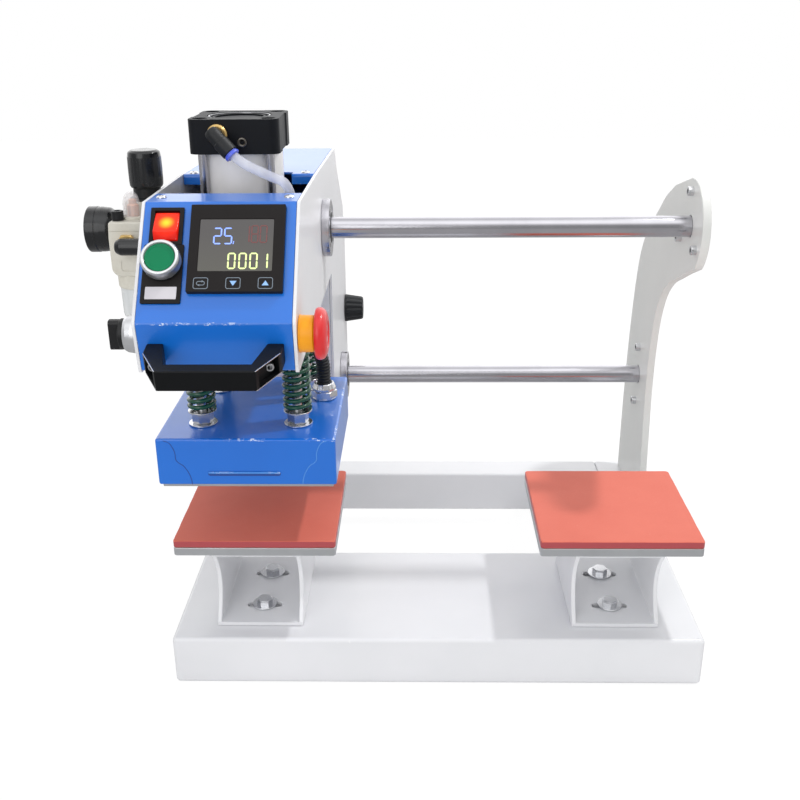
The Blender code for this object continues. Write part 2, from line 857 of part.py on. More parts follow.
def build_rear_covers():
    roof = (
        (roof_front_y, head_top_z - roof_lip), (roof_front_y, head_top_z), (roof_back_y, roof_back_z),
        (chamfer_y, chamfer_z), (shoulder_y, shoulder_z), (leg_back_y, leg_back_z),
        (leg_back_y, leg_bottom_z + cover_thickness + gap),
    )
    notch_half = cap_side / 2 + running_clearance
    notch = block(
        (-notch_half, roof_front_y - overrun, head_top_z - roof_lip - overrun),
        (notch_half, press_y + notch_half, head_top_z + overrun),
    )
    screw_x = cover_half_width - sheet_screw_inset
    screw_y = roof_front_y + sheet_screw_inset
    piece(
        "rear_cover", prism(folded(roof, -cover_thickness), -cover_half_width, cover_half_width), blue_paint,
        carriage, head_origin, adds=(screw_heads(((-screw_x, screw_y), (screw_x, screw_y)), head_top_z),),
        cuts=(notch,),
    )
    wall = (
        (leg_top_front_y - back_shelf, cover_bottom_z), (leg_top_front_y, cover_bottom_z),
        (leg_front_y, leg_bottom_z), (leg_back_y, leg_bottom_z),
    )
    piece(
        "bulkhead", prism(folded(wall, cover_thickness), -cover_half_width, cover_half_width), white_paint,
        carriage, head_origin,
    )


def build_bearings():
    bore = rail_diameter / 2 + gap
    sleeve = bearing_sleeve_diameter / 2
    flange = bearing_flange_diameter / 2
    seat = head_half_width + gap
    face = head_half_width + bearing_flange_thickness
    inside = inner_half_width - bearing_sleeve_length
    profile = ((bore, face), (flange, face), (flange, seat), (sleeve, seat), (sleeve, inside), (bore, inside))
    for row, y, z in (("upper", upper_rail_y, upper_rail_z), ("lower", lower_rail_y, lower_rail_z)):
        for word, side in (("left", -1), ("right", 1)):
            shape = turned(profile, round_sides, "X", ring=True)
            if side < 0:
                shape = mirrored(shape)
            piece(f"{row}_{word}_bearing", shape, steel, carriage, (head_x, y, z))


# Air cylinder


def corner_places(offset):
    return [(x, y) for x in (-offset, offset) for y in (-offset, offset)]


def build_cylinder():
    at = (press_x, press_y, 0)
    square = rounded_rectangle(cap_side, cap_side, cap_corner_radius)
    rods = together(*[
        moved(rod(tie_rod_diameter / 2, lower_cap_top_z + gap, cap_bottom_z + overrun, screw_sides), x, y)
        for x, y in corner_places(tie_rod_offset)
    ])
    above = cylinder_top_z + overrun
    recess = rod(cap_recess_diameter / 2, cylinder_top_z - cap_recess_depth, above, round_sides)
    hole_ends = (cylinder_top_z - cap_corner_hole_depth, above)
    corners = [
        moved(rod(cap_corner_hole_diameter / 2, *hole_ends, screw_sides), x, y)
        for x, y in corner_places(tie_rod_offset)
    ]
    piece(
        "cylinder_top_cap", prism(square, cap_bottom_z, cylinder_top_z, "Z"), black_metal, carriage, at,
        adds=(rods,), cuts=(recess, together(*corners)),
    )
    bore = cylinder_bore / 2
    tube_profile = (
        (bore, barrel_bottom_z), (barrel_diameter / 2, barrel_bottom_z),
        (barrel_diameter / 2, barrel_top_z), (bore, barrel_top_z),
    )
    piece("cylinder_barrel", turned(tube_profile, fine_sides, ring=True), aluminium, carriage, at)
    passage = rod_diameter / 2 + gap
    rod_hole = rod(passage, lower_cap_bottom_z - overrun, lower_cap_top_z + overrun, round_sides)
    lower_cap = prism(square, lower_cap_bottom_z, lower_cap_top_z, "Z")
    piece("cylinder_lower_cap", lower_cap, black_metal, carriage, at, cuts=(rod_hole,))
    half_depth = cap_side / 2 + mount_plate_margin
    plate = block(
        (-cover_half_width, -half_depth, mount_plate_bottom_z),
        (cover_half_width, half_depth, mount_plate_top_z),
    )
    hole = rod(passage, mount_plate_bottom_z - overrun, mount_plate_top_z + overrun, round_sides)
    notch = conduit_notch(mount_plate_bottom_z, mount_plate_top_z)
    piece("cylinder_mount_plate", plate, steel, carriage, at, cuts=(hole, notch))
    piston_radius = (cylinder_bore - piston_clearance) / 2
    rod_radius = rod_diameter / 2
    profile = (
        (rod_radius, pressure_plate_top_z + gap), (rod_radius, piston_top_z - piston_length),
        (piston_radius, piston_top_z - piston_length), (piston_radius, piston_top_z),
    )
    piece("piston_rod", turned(profile, round_sides), chrome, press, at)


def conduit_notch(low, high):
    """The way for the conduit through a plate's right edge, from the cylinder's axis."""
    x = conduit_top_x - conduit_notch_half + running_clearance
    y = conduit_top_y - press_y
    return block(
        (x, y - conduit_notch_half, low - overrun), (head_half_width, y + conduit_notch_half, high + overrun)
    )


# Press head


def stud_passages(low, high):
    """The studs' clearance holes through a plate."""
    ends = (low - overrun, high + overrun)
    return together(*[
        moved(rod(stud_diameter / 2 + gap, *ends, small_sides), x, y) for x, y in corner_places(spring_offset)
    ])


def build_press_head():
    at = (press_x, press_y, 0)
    half = pressure_plate_side / 2
    plate = block((-half, -half, pressure_plate_bottom_z), (half, half, pressure_plate_top_z))
    holes = stud_passages(pressure_plate_bottom_z, pressure_plate_top_z)
    notch = conduit_notch(pressure_plate_bottom_z, pressure_plate_top_z)
    piece("pressure_plate", plate, steel, press, at, cuts=(holes, notch))
    half = heater_side / 2
    inner = half - heater_wall
    shell = block((-half, -half, heater_bottom_z), (half, half, heater_top_z))
    cavity = block((-inner, -inner, heater_bottom_z - overrun), (inner, inner, heater_top_z - heater_wall))
    holes = stud_passages(heater_top_z - heater_wall, heater_top_z)
    piece("heater_shroud", shell, blue_paint, press, at, edge=heater_wall, cuts=(cavity, holes))
    plate_half = inner - heating_plate_clearance
    plate = block(
        (-plate_half, -plate_half, heating_plate_bottom_z), (plate_half, plate_half, heating_plate_top_z)
    )
    studs = [moved(stud(), x, y) for x, y in corner_places(spring_offset)]
    piece("heating_plate", plate, aluminium, press, at, adds=(together(*studs),))


def stud():
    """A stud from the heating plate to its head above the pressure plate, with washers and nut."""
    shank = stud_diameter / 2
    washer = stud_washer_diameter / 2
    nut = stud_nut_width / 2
    head = stud_head_diameter / 2
    nut_bottom = stud_washer_bottom_z + stud_washer_thickness
    head_bottom = pressure_plate_top_z + gap
    profile = (
        (shank, heating_plate_top_z - overrun), (shank, stud_washer_bottom_z), (washer, stud_washer_bottom_z),
        (washer, nut_bottom), (nut, nut_bottom), (nut, stud_nut_top_z), (washer, stud_nut_top_z),
        (washer, spring_seat_z), (shank, spring_seat_z), (shank, head_bottom), (head, head_bottom),
        (head, head_bottom + stud_head_height),
    )
    return turned(profile, screw_sides)


def spring_points():
    """A helix whose end turns lie close together, with a straight wire's width at each end."""
    radius = (spring_diameter - spring_wire) / 2
    low = spring_seat_z + gap + spring_wire / 2
    high = pressure_plate_bottom_z - gap - spring_wire / 2
    middle_turns = spring_turns - 2
    middle_pitch = (high - low - 2 * spring_end_pitch) / middle_turns
    points = []
    for k in range(spring_turns * spring_points_per_turn + 1):
        turn = k / spring_points_per_turn
        angle = 2 * math.pi * turn
        climb = spring_end_pitch * min(turn, 1) + middle_pitch * min(max(turn - 1, 0), middle_turns)
        climb += spring_end_pitch * max(turn - 1 - middle_turns, 0)
        points.append(Vector((radius * math.cos(angle), radius * math.sin(angle), low + climb)))
    first = points[0] - Vector((0, spring_wire, 0))
    last = points[-1] + Vector((0, spring_wire, 0))
    return [first, *points, last]


def least_gap(points, wire, neighbours):
    """The least clear distance between points of the wire that lie more than some points apart along it."""
    least = min(
        (points[i] - points[j]).length
        for i in range(len(points))
        for j in range(i + neighbours, len(points))
    )
    return least - wire


def build_springs():
    points = spring_points()
    clear = least_gap(points, spring_wire, spring_points_per_turn // 2)
    print(f"spring: {spring_turns} turns, least gap to itself {clear * 1000:.2f} mm")
    names = ("front_left_spring", "back_left_spring", "front_right_spring", "back_right_spring")
    for name, (x, y) in zip(names, corner_places(spring_offset)):
        tube(name, points, spring_wire, spring_paint, press, (press_x + x, press_y + y, 0), resolution=1)


def build_conduit():
    gland_base = heater_top_z + gap
    collar = gland_diameter / 2
    nose = gland_nose_diameter / 2
    bore = conduit_diameter / 2 + gap
    profile = (
        (bore, gland_base), (collar, gland_base), (collar, gland_base + gland_collar_height),
        (nose, gland_base + gland_height), (bore, gland_base + gland_height),
    )
    at = (head_x + gland_x, gland_y, 0)
    piece("heater_gland", turned(profile, small_sides, ring=True), chrome, press, at)
    low = gland_base + gland_height - conduit_entry
    lean_low = gland_base + gland_height + conduit_diameter
    lean_high = cover_bottom_z - conduit_diameter
    count = 2 * round((conduit_top_z - low) / conduit_rib_pitch)
    points = []
    swell = []
    for k in range(count + 1):
        z = low + (conduit_top_z - low) * k / count
        share = min(max((z - lean_low) / (lean_high - lean_low), 0), 1)
        share = share * share * (3 - 2 * share)
        x = (conduit_top_x - gland_x) * share
        y = (conduit_top_y - gland_y) * share
        points.append(Vector((x, y, z)))
        swell.append(1.0 if k % 2 else 1 - 2 * conduit_groove / conduit_diameter)
    ribbed = tube("conduit_skin", points, conduit_diameter, black_plastic, press, at, 2, swell)
    bore_points = [points[0] - Vector((0, 0, overrun)), *points[1:-1:6], points[-1] + Vector((0, 0, overrun))]
    bore_tube = tube("conduit_bore", bore_points, conduit_bore, black_plastic, press, at, 1)
    bpy.context.view_layer.update()
    skin = bpy.data.meshes.new_from_object(ribbed)
    hollow = bpy.data.meshes.new_from_object(bore_tube)
    for guide in (ribbed, bore_tube):
        bpy.data.objects.remove(guide, do_unlink=True)
    shapes = []
    for mesh in (skin, hollow):
        shape = bmesh.new()
        shape.from_mesh(mesh)
        bmesh.ops.remove_doubles(shape, verts=shape.verts, dist=gap / 10)
        bmesh.ops.recalc_face_normals(shape, faces=shape.faces)
        shapes.append(shape)
    piece("heater_conduit", shapes[0], black_plastic, press, at, cuts=(shapes[1],))


# Things on the sloped panel


def build_controller():
    square = rounded_rectangle(controller_side, controller_side, controller_edge_radius * 2, 2)
    half = controller_body_side / 2
    body = block((-half, -half, -controller_body_depth), (half, half, gap * 2))
    piece(
        "controller", prism(square, gap, controller_lip, "Z"), black_plastic, carriage,
        on_panel(controller_x, controller_y), panel_tilt, adds=(body,),
    )


def build_rocker():
    at = on_panel(rocker_x, rocker_y)
    half_width = rocker_opening_width / 2
    half_height = rocker_opening_height / 2
    wall = switch_wall / 2
    outline = rounded_rectangle(rocker_bezel_width, rocker_bezel_height, wall * 2, 2)
    lip = prism(outline, gap, rocker_bezel_proud, "Z")
    housing = block(
        (-half_width - wall, -half_height - wall, -rocker_body_depth),
        (half_width + wall, half_height + wall, gap * 2),
    )
    floor = -rocker_body_depth + switch_wall
    well = block((-half_width, -half_height, floor), (half_width, half_height, overrun))
    piece("rocker_bezel", lip, black_plastic, carriage, at, panel_tilt, adds=(housing,), cuts=(well,))
    pivot = on_panel(rocker_x, rocker_y, -rocker_pivot_depth)
    axis = joint_empty("rocker_axis", pivot, carriage)
    button_half = half_width - running_clearance / 2
    skirt_half_length = rocker_half_length - running_clearance
    # Its upper end is pressed in, and a ridge stands proud near the lower end
    profile = (
        (-rocker_half_length, rocker_end + rocker_pivot_depth),
        (-rocker_ridge_drop, rocker_high + rocker_pivot_depth),
        (rocker_half_length, rocker_low + rocker_pivot_depth),
        (skirt_half_length, -rocker_skirt), (-skirt_half_length, -rocker_skirt),
    )
    piece("rocker_button", prism(profile, -button_half, button_half), red_plastic, axis, pivot, panel_tilt)


def build_start_button():
    at = on_panel(start_x, start_y)
    center = start_bezel_diameter / 2
    hole = start_cap_diameter / 2 + gap
    neck = switch_body_diameter / 2
    legend = prism(rounded_rectangle(legend_width, legend_height, switch_wall, 2), gap, legend_thickness, "Z")
    legend = moved(legend, 0, -legend_drop)
    ring = rod(center, gap * 2, legend_thickness + start_bezel_height, round_sides)
    body = rod(neck, -switch_body_depth, gap * 2, small_sides)
    floor = legend_thickness + start_bezel_height - start_cap_recess - start_cap_height - start_travel - gap
    well = rod(hole, floor, legend_thickness + start_bezel_height + overrun, round_sides)
    piece("start_button_bezel", legend, chrome, carriage, at, panel_tilt, adds=(ring, body), cuts=(well,))
    cap_top = legend_thickness + start_bezel_height - start_cap_recess
    bottom = on_panel(start_x, start_y, cap_top - start_cap_height)
    axis = joint_empty("start_button_axis", bottom, carriage)
    radius = start_cap_diameter / 2
    rim = running_clearance
    profile = ((radius, 0), (radius, start_cap_height - rim), (radius - rim, start_cap_height))
    piece("start_button_cap", turned(profile, round_sides), green_plastic, axis, bottom, panel_tilt)


def build_handle():
    outer = handle_half_span
    bar = handle_bar_half_length
    foot = outer - handle_foot_width
    inner_bar = bar - handle_foot_width / 2
    inner_reach = handle_reach - handle_bar_depth
    outline = (
        (-outer, gap), (-bar, handle_reach), (bar, handle_reach), (outer, gap),
        (foot, gap), (inner_bar, inner_reach), (-inner_bar, inner_reach), (-foot, gap),
    )
    half = handle_height / 2
    at = Vector(head_origin) + low_panel_center
    shape = moved(prism(outline, -half, half, "Y"), 0, -handle_drop)
    piece("handle", shape, black_plastic, carriage, at, low_panel_tilt, edge=handle_edge_radius)


# Switches on the side plates


def contact_block():
    """A switch body and its square contact block, along X from the right plate's outer face."""
    neck = rod(switch_body_diameter / 2, -plate_thickness - overrun, gap * 2, small_sides, "X")
    half = side_switch_block / 2
    inside = block(
        (-plate_thickness - gap - side_switch_block_depth, -half, -half), (-plate_thickness - gap, half, half)
    )
    return neck, inside


def build_estop():
    at = (head_x + head_half_width, side_switch_y, side_switch_z)
    base = rod(estop_base_diameter / 2, gap, estop_base_height, round_sides, "X")
    neck, inside = contact_block()
    stem_radius = estop_stem_diameter / 2
    stem_bottom = estop_base_height - estop_travel - running_clearance
    well_floor = stem_bottom - estop_travel - running_clearance
    well = rod(stem_radius + gap, well_floor, estop_base_height + overrun, small_sides, "X")
    piece("e_stop_base", base, yellow_plastic, carriage, at, adds=(neck, inside), cuts=(well,))
    radius = estop_head_diameter / 2
    # The head is hollow below, so that its skirt comes down around the base
    under = estop_base_height + running_clearance
    roof = under + estop_travel
    top = under + estop_head_height
    inner = estop_base_diameter / 2 + estop_skirt_clearance
    profile = (
        (stem_radius, stem_bottom), (stem_radius, roof), (inner, roof), (inner, under),
        (radius * 0.9, under), (radius, under + estop_head_height / 4),
        (radius, under + estop_head_height / 2), (radius * 0.85, top - estop_head_height / 8),
        (radius * 0.5, top),
    )
    axis = joint_empty("e_stop_axis", at, carriage)
    piece("e_stop_head", turned(profile, round_sides, "X"), red_plastic, axis, at)


def build_selector():
    at = (head_x - head_half_width, side_switch_y, side_switch_z)
    bezel = mirrored(rod(selector_bezel_diameter / 2, gap, selector_bezel_height, round_sides, "X"))
    neck, inside = contact_block()
    piece("selector_base", bezel, chrome, carriage, at, adds=(mirrored(neck), mirrored(inside)))
    axis = joint_empty("selector_axis", at, carriage)
    dial_low = selector_bezel_height + gap
    dial_high = dial_low + selector_dial_height
    dial = mirrored(rod(selector_dial_diameter / 2, dial_low, dial_high, round_sides, "X"))
    grip = block(
        (-dial_high - selector_grip_height, -selector_grip_width / 2, -selector_grip_length / 2),
        (-dial_high + gap, selector_grip_width / 2, selector_grip_length / 2),
    )
    piece("selector_handle", dial, black_plastic, axis, at, adds=(grip,))


def build_side_knob():
    at = (head_x + head_half_width, knob_y, knob_z)
    axis = joint_empty("side_knob_axis", at, carriage)
    spindle = rod(knob_spindle_diameter / 2, -knob_spindle_depth, gap * 4, screw_sides, "X")
    sides = 2 * knob_flute_count
    shape = bmesh.new()
    rows = []
    for radius, x in (
        (knob_diameter / 2, gap), (knob_diameter / 2, knob_height / 4), (knob_nose_diameter / 2, knob_height),
    ):
        row = []
        for k in range(sides):
            angle = 2 * math.pi * k / sides
            reach = radius - (knob_flute_depth if k % 2 else 0)
            row.append(shape.verts.new((x, reach * math.cos(angle), reach * math.sin(angle))))
        rows.append(row)
    for lower, upper in zip(rows, rows[1:]):
        for k in range(sides):
            after = (k + 1) % sides
            shape.faces.new((lower[k], lower[after], upper[after], upper[k]))
    shape.faces.new(rows[0])
    shape.faces.new(rows[-1])
    bmesh.ops.recalc_face_normals(shape, faces=shape.faces)
    piece("side_knob", shape, black_plastic, axis, at, adds=(spindle,))


# Air supply


def build_air_unit():
    x = head_x + air_x
    plate_x = -head_half_width - gap - air_x
    side = regulator_body_side / 2
    body = block((-side, -side, regulator_bottom_z), (side, side, regulator_top_z))
    boss_half = side / 2
    boss_mid = (regulator_bottom_z + regulator_top_z) / 2
    boss = block((0, -boss_half, boss_mid - side), (plate_x, boss_half, boss_mid + boss_half))
    neck_ends = (regulator_top_z - overrun, regulator_knob_bottom_z - gap)
    neck = rod(regulator_neck_diameter / 2, *neck_ends, round_sides)
    lubricator_mid = lubricator_y - regulator_y
    half_depth = lubricator_depth / 2
    # The lubricator's body reaches out to the left, over its bowl
    left = plate_x - running_clearance - lubricator_width
    casting = block(
        (left, lubricator_mid - half_depth, lubricator_bottom_z),
        (plate_x - running_clearance, lubricator_mid + half_depth, lubricator_top_z),
    )
    link = block(
        (-side / 2, lubricator_mid + half_depth - overrun, boss_mid - boss_half),
        (side / 2, -side + overrun, boss_mid + boss_half),
    )
    dome_profile = (
        (sight_dome_diameter / 2, lubricator_top_z - overrun),
        (sight_dome_diameter / 2, lubricator_top_z + sight_dome_height * 0.6),
        (sight_dome_diameter / 2 * 0.8, lubricator_top_z + sight_dome_height * 0.88),
        (sight_dome_diameter / 2 * 0.4, lubricator_top_z + sight_dome_height),
    )
    dome = moved(turned(dome_profile, small_sides), sight_dome_x - air_x, lubricator_mid)
    plug_ends = (lubricator_top_z - overrun, lubricator_top_z + fill_plug_height)
    plug = rod(fill_plug_diameter / 2, *plug_ends, screw_sides)
    plug = moved(plug, fill_plug_x - air_x, lubricator_mid - half_depth / 2)
    front = lubricator_mid - half_depth
    outlet = rod(outlet_diameter / 2, front - outlet_reach, front + overrun, small_sides, "Y")
    outlet = moved(outlet, -outlet_shift, 0, outlet_z)
    arm = rod(outlet_diameter / 2, -outlet_shift, plate_x, small_sides, "X")
    arm = moved(arm, 0, front - outlet_reach, outlet_z)
    stem = rod(gauge_stem_diameter / 2, -side - gauge_stem_length, -side + overrun, small_sides, "X")
    stem = moved(stem, 0, gauge_y - regulator_y, gauge_z)
    piece(
        "air_unit_body", body, cream_paint, carriage, (x, regulator_y, 0),
        adds=(boss, neck, link, casting, dome, plug, outlet, arm, stem),
    )
    bowl_x = sight_dome_x - air_x
    outer = bowl_diameter / 2
    inner = outer - bowl_wall
    top = lubricator_bottom_z - gap
    bottom = top - bowl_length
    bowl_profile = (
        (outer, top), (outer, bottom + outer * 0.6), (outer * 0.85, bottom + outer * 0.2),
        (outer * 0.4, bottom), (0, bottom), (0, bottom + bowl_wall), (inner * 0.4, bottom + bowl_wall),
        (inner * 0.8, bottom + outer * 0.3), (inner, bottom + outer * 0.7), (inner, top),
    )
    bowl = turned(bowl_profile, small_sides, ring=True)
    piece("lubricator_bowl", bowl, clear_plastic, carriage, (x + bowl_x, lubricator_y, 0))
    build_regulator_knob(x)
    build_gauge(x - side - gauge_stem_length)


def build_regulator_knob(x):
    at = (x, regulator_y, regulator_knob_bottom_z)
    axis = joint_empty("regulator_axis", at, carriage)
    radius = regulator_knob_diameter / 2
    height = regulator_knob_height
    profile = (
        (radius * 0.94, 0), (radius, height * 0.12), (radius, height * 0.85), (radius * 0.9, height * 0.95),
        (radius * 0.7, height),
    )
    piece("regulator_knob", turned(profile, round_sides), black_plastic, axis, at)


def build_gauge(stem_x):
    back = -gap
    face = -gap - gauge_depth
    radius = gauge_diameter / 2
    floor = face + gauge_recess
    at = (stem_x, gauge_y, gauge_z)
    case = rod(radius, face, back, round_sides, "X")
    recess = rod(radius - gauge_rim, face - overrun, floor, round_sides, "X")
    piece("pressure_gauge", case, black_plastic, carriage, at, cuts=(recess,))
    pivot = (stem_x + floor - gap, gauge_y, gauge_z)
    axis = joint_empty("gauge_axis", pivot, carriage)
    hub = rod(needle_hub_diameter / 2, -needle_height, 0, screw_sides, "X")
    pointer = block(
        (-needle_height, -needle_width / 2, -needle_length),
        (-needle_height + needle_thickness, needle_width / 2, 0),
    )
    pointer = placed(pointer, Matrix.Rotation(needle_rest_angle, 4, "X"))
    piece("gauge_needle", hub, red_plastic, axis, pivot, adds=(pointer,))


# Fitting, tube and valve


def build_air_line():
    cap_face_y = press_y - cap_side / 2 - gap
    at = (head_x + elbow_x, cap_face_y, elbow_z)
    collar = rod(elbow_collar_diameter / 2, -elbow_collar_height, 0, 6, "Y")
    radius = elbow_diameter / 2
    neck = rod(radius, -elbow_reach, -elbow_collar_height + gap, small_sides, "Y")
    corner = Vector((0, -elbow_reach, 0))
    turn = Vector((0, 0, 1)).rotation_difference(elbow_leg_direction).to_matrix().to_4x4()
    leg = placed(rod(radius, -radius, elbow_leg, small_sides), Matrix.Translation(corner) @ turn)
    piece("elbow_fitting", collar, black_plastic, carriage, at, adds=(neck, leg))
    start = Vector((elbow_x, cap_face_y, elbow_z)) + corner + elbow_leg_direction * (elbow_leg + gap)
    port_top = cover_bottom_z + 2 * cover_thickness + gap + valve_height + valve_port_height
    end = Vector((valve_x, valve_y, port_top + gap))
    # Over the ledge's back edge, then down beside the right side plate to the valve
    ledge_y = ledge_back_y + tube_diameter / 2 + cover_thickness
    edge = Vector((valve_x - cover_thickness, ledge_y, head_top_z + tube_diameter * 0.7))
    beside_x = valve_x + tube_diameter * 0.9
    route = [
        start,
        start + elbow_leg_direction * tube_diameter,
        (start + edge) / 2 + Vector((0, -tube_diameter / 2, tube_diameter / 6)),
        edge,
        Vector((beside_x, ledge_y, head_top_z - tube_diameter * 1.7)),
        Vector((beside_x, ledge_y, head_top_z - tube_diameter * 5.4)),
        end + Vector((0, 0, 2 * tube_diameter)),
        end + Vector((0, 0, tube_diameter)),
        end,
    ]
    tube("air_tube", smooth_route(route, tube_diameter), tube_diameter, clear_plastic, carriage, head_origin)
    floor = cover_bottom_z + 2 * cover_thickness + gap
    half_width = valve_width / 2
    half_depth = valve_depth / 2
    body = block((-half_width, -half_depth, floor), (half_width, half_depth, floor + valve_height))
    port = rod(valve_port_diameter / 2, floor + valve_height - overrun, port_top, small_sides)
    piece("solenoid_valve", body, black_plastic, carriage, (head_x + valve_x, valve_y, 0), adds=(port,))


build_base()
build_arms()
build_rails()
build_stations()
build_side_plates()
build_front_cover()
build_rear_covers()
build_bearings()
build_cylinder()
build_press_head()
build_springs()
build_conduit()
build_controller()
build_rocker()
build_start_button()
build_handle()
build_estop()
build_selector()
build_side_knob()
build_air_unit()
build_air_line()
bpy.context.view_layer.update()
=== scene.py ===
import math

import bmesh
import bpy
from mathutils import Matrix, Vector


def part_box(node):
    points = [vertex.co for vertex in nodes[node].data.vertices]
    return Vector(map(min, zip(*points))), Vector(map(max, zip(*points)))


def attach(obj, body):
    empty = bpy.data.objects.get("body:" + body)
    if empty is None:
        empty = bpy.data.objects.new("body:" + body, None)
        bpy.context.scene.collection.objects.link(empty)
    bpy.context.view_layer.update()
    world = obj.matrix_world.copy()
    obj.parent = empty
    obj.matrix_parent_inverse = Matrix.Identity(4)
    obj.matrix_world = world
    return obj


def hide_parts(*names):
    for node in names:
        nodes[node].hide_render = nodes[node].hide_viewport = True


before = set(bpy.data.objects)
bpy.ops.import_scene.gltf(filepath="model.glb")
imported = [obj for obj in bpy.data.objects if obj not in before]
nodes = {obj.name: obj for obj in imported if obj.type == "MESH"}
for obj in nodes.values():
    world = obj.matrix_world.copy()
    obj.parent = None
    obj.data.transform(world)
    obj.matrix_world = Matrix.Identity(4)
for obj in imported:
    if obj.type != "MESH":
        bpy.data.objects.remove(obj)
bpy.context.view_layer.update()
print("frame loaded:", len(nodes), "nodes")


# Node trees, for shaders and for geometry


class Wire:
    # One output socket; sums on it add Math nodes to its tree
    def __init__(self, bench, socket):
        self.bench = bench
        self.socket = socket

    def math(self, operation, *others):
        return self.bench.add("ShaderNodeMath", {"operation": operation}, dict(enumerate((self, *others))))

    def __add__(self, other):
        return self.math("ADD", other)

    __radd__ = __add__

    def __mul__(self, other):
        return self.math("MULTIPLY", other)

    __rmul__ = __mul__

    def __sub__(self, other):
        return self.math("SUBTRACT", other)

    def __rsub__(self, other):
        return self.bench.add("ShaderNodeMath", {"operation": "SUBTRACT"}, {0: other, 1: self})

    def __truediv__(self, other):
        return self.math("DIVIDE", other)

    def __pow__(self, other):
        return self.math("POWER", other)

    def ramp(self, start, end, kind="LINEAR"):
        # 0 at the start and 1 at the end
        settings = {"interpolation_type": kind}
        return self.bench.add("ShaderNodeMapRange", settings, {0: self, 1: start, 2: end})

    def above(self, level, softness):
        return self.ramp(level - softness, level + softness)


class Bench:
    # A node tree and the one way nodes are put in it: settings first, then values or links
    def __init__(self, tree):
        self.tree = tree

    def add(self, kind, settings=None, values=None, output=0):
        node = self.tree.nodes.new(kind)
        for key, value in (settings or {}).items():
            setattr(node, key, value)
        for key, value in (values or {}).items():
            self.feed(node.inputs[key], value)
        return Wire(self, node.outputs[output]) if node.outputs else None

    def feed(self, socket, value):
        if isinstance(value, Wire):
            self.tree.links.new(value.socket, socket)
        else:
            socket.default_value = value


def tone(code, share=1.0):
    # A colour as it is seen on a screen, turned to linear light, and a share of it
    parts = [int(code[i:i + 2], 16) / 255 for i in (1, 3, 5)]
    parts = [p / 12.92 if p <= 0.04045 else ((p + 0.055) / 1.055) ** 2.4 for p in parts]
    return (*[min(1.0, share * p) for p in parts], 1)


class Finish(Bench):
    # A material whose patterns read Object coordinates
    def __init__(self, name, **sockets):
        self.material = bpy.data.materials.new(name)
        self.material.use_nodes = True
        super().__init__(self.material.node_tree)
        self.shader = self.tree.nodes["Principled BSDF"]
        for key, value in sockets.items():
            self.shader.inputs[key.replace("_", " ")].default_value = value
        self.where = self.add("ShaderNodeTexCoord", output="Object")

    def show(self, socket, value):
        self.feed(self.shader.inputs[socket], value)

    def stretched(self, x, y, z):
        values = {"Vector": self.where, "Scale": (x, y, z)}
        return self.add("ShaderNodeMapping", {"vector_type": "POINT"}, values)

    def noise(self, scale, detail=3.0, roughness=0.6, place=None):
        values = {"Vector": place or self.where, "Scale": scale, "Detail": detail, "Roughness": roughness}
        return self.add("ShaderNodeTexNoise", {"noise_dimensions": "3D"}, values)

    def mark(self, name):
        return self.add("ShaderNodeAttribute", {"attribute_name": name}, output="Fac")

    def blend(self, share, *colors):
        first, second = (tone(color) if isinstance(color, str) else color for color in colors)
        settings = {"data_type": "RGBA", "blend_type": "MIX", "clamp_factor": True}
        return self.add("ShaderNodeMix", settings, {0: share, 6: first, 7: second}, output=2)

    def relief(self, height, strength, distance):
        values = {"Height": height, "Strength": strength, "Distance": distance}
        self.show("Normal", self.add("ShaderNodeBump", {}, values))


# Finishes


def paintedSteel(name, color, shade, glint, roughness, glintShare, coat=0.25):
    # Powder coat: a fine orange peel, faint clouding, and pale flecks on marked edges: painted highlights
    # where edges catch the light, set in patches like chips
    paint = Finish(name, Coat_Weight=coat, Coat_Roughness=0.12)
    peel = paint.noise(620, 2.0, 0.5)
    cloud = paint.noise(9)
    glintPatches = paint.noise(30, 2.0, 0.5).above(0.54, 0.06)
    glintFlecks = paint.noise(420, 4.0, 0.75, paint.stretched(0.5, 1, 0.8)).above(1 - glintShare, 0.03)
    # Painted highlights: pale flecks only where the face mark lies
    glinted = paint.mark("face_mark") * glintFlecks * glintPatches
    base = paint.blend(cloud.above(0.5, 0.25), color, shade)
    paint.show("Base Color", paint.blend(glinted, base, glint))
    paint.show("Roughness", roughness + cloud * 0.08 + glinted * 0.12)
    paint.relief(peel + glinted * -0.8, 0.10, 0.0004)
    return paint.material


def turnedMetal(name, color, roughness, grain, metallic=1.0, relief=0.06):
    # Ground or turned metal with fine lines round the axis or along the grain
    metal = Finish(name, Metallic=metallic)
    lines = metal.noise(60, 5.0, 0.65, metal.stretched(*grain))
    stains = metal.noise(26)
    metal.show("Base Color", metal.blend(stains.above(0.56, 0.2) * 0.6, color, tone(color, 0.80)))
    metal.show("Roughness", roughness + lines * roughness * 0.7)
    metal.relief(lines, relief, 0.0003)
    return metal.material


def mouldedPlastic(name, color, roughness, speck, grain=900, coat=0.0, shine=0.5):
    # Moulded plastic with a fine spark-eroded grain and a little dust and handling shine
    plastic = Finish(name, Coat_Weight=coat, Coat_Roughness=0.15, Specular_IOR_Level=shine)
    texture = plastic.noise(grain, 2.0)
    handled = plastic.noise(40, 4.0, 0.7)
    plastic.show("Base Color", plastic.blend(handled.above(0.58, 0.15) * 0.5, color, speck))
    plastic.show("Roughness", roughness + handled * 0.14)
    plastic.relief(texture, 0.14, 0.0003)
    return plastic.material


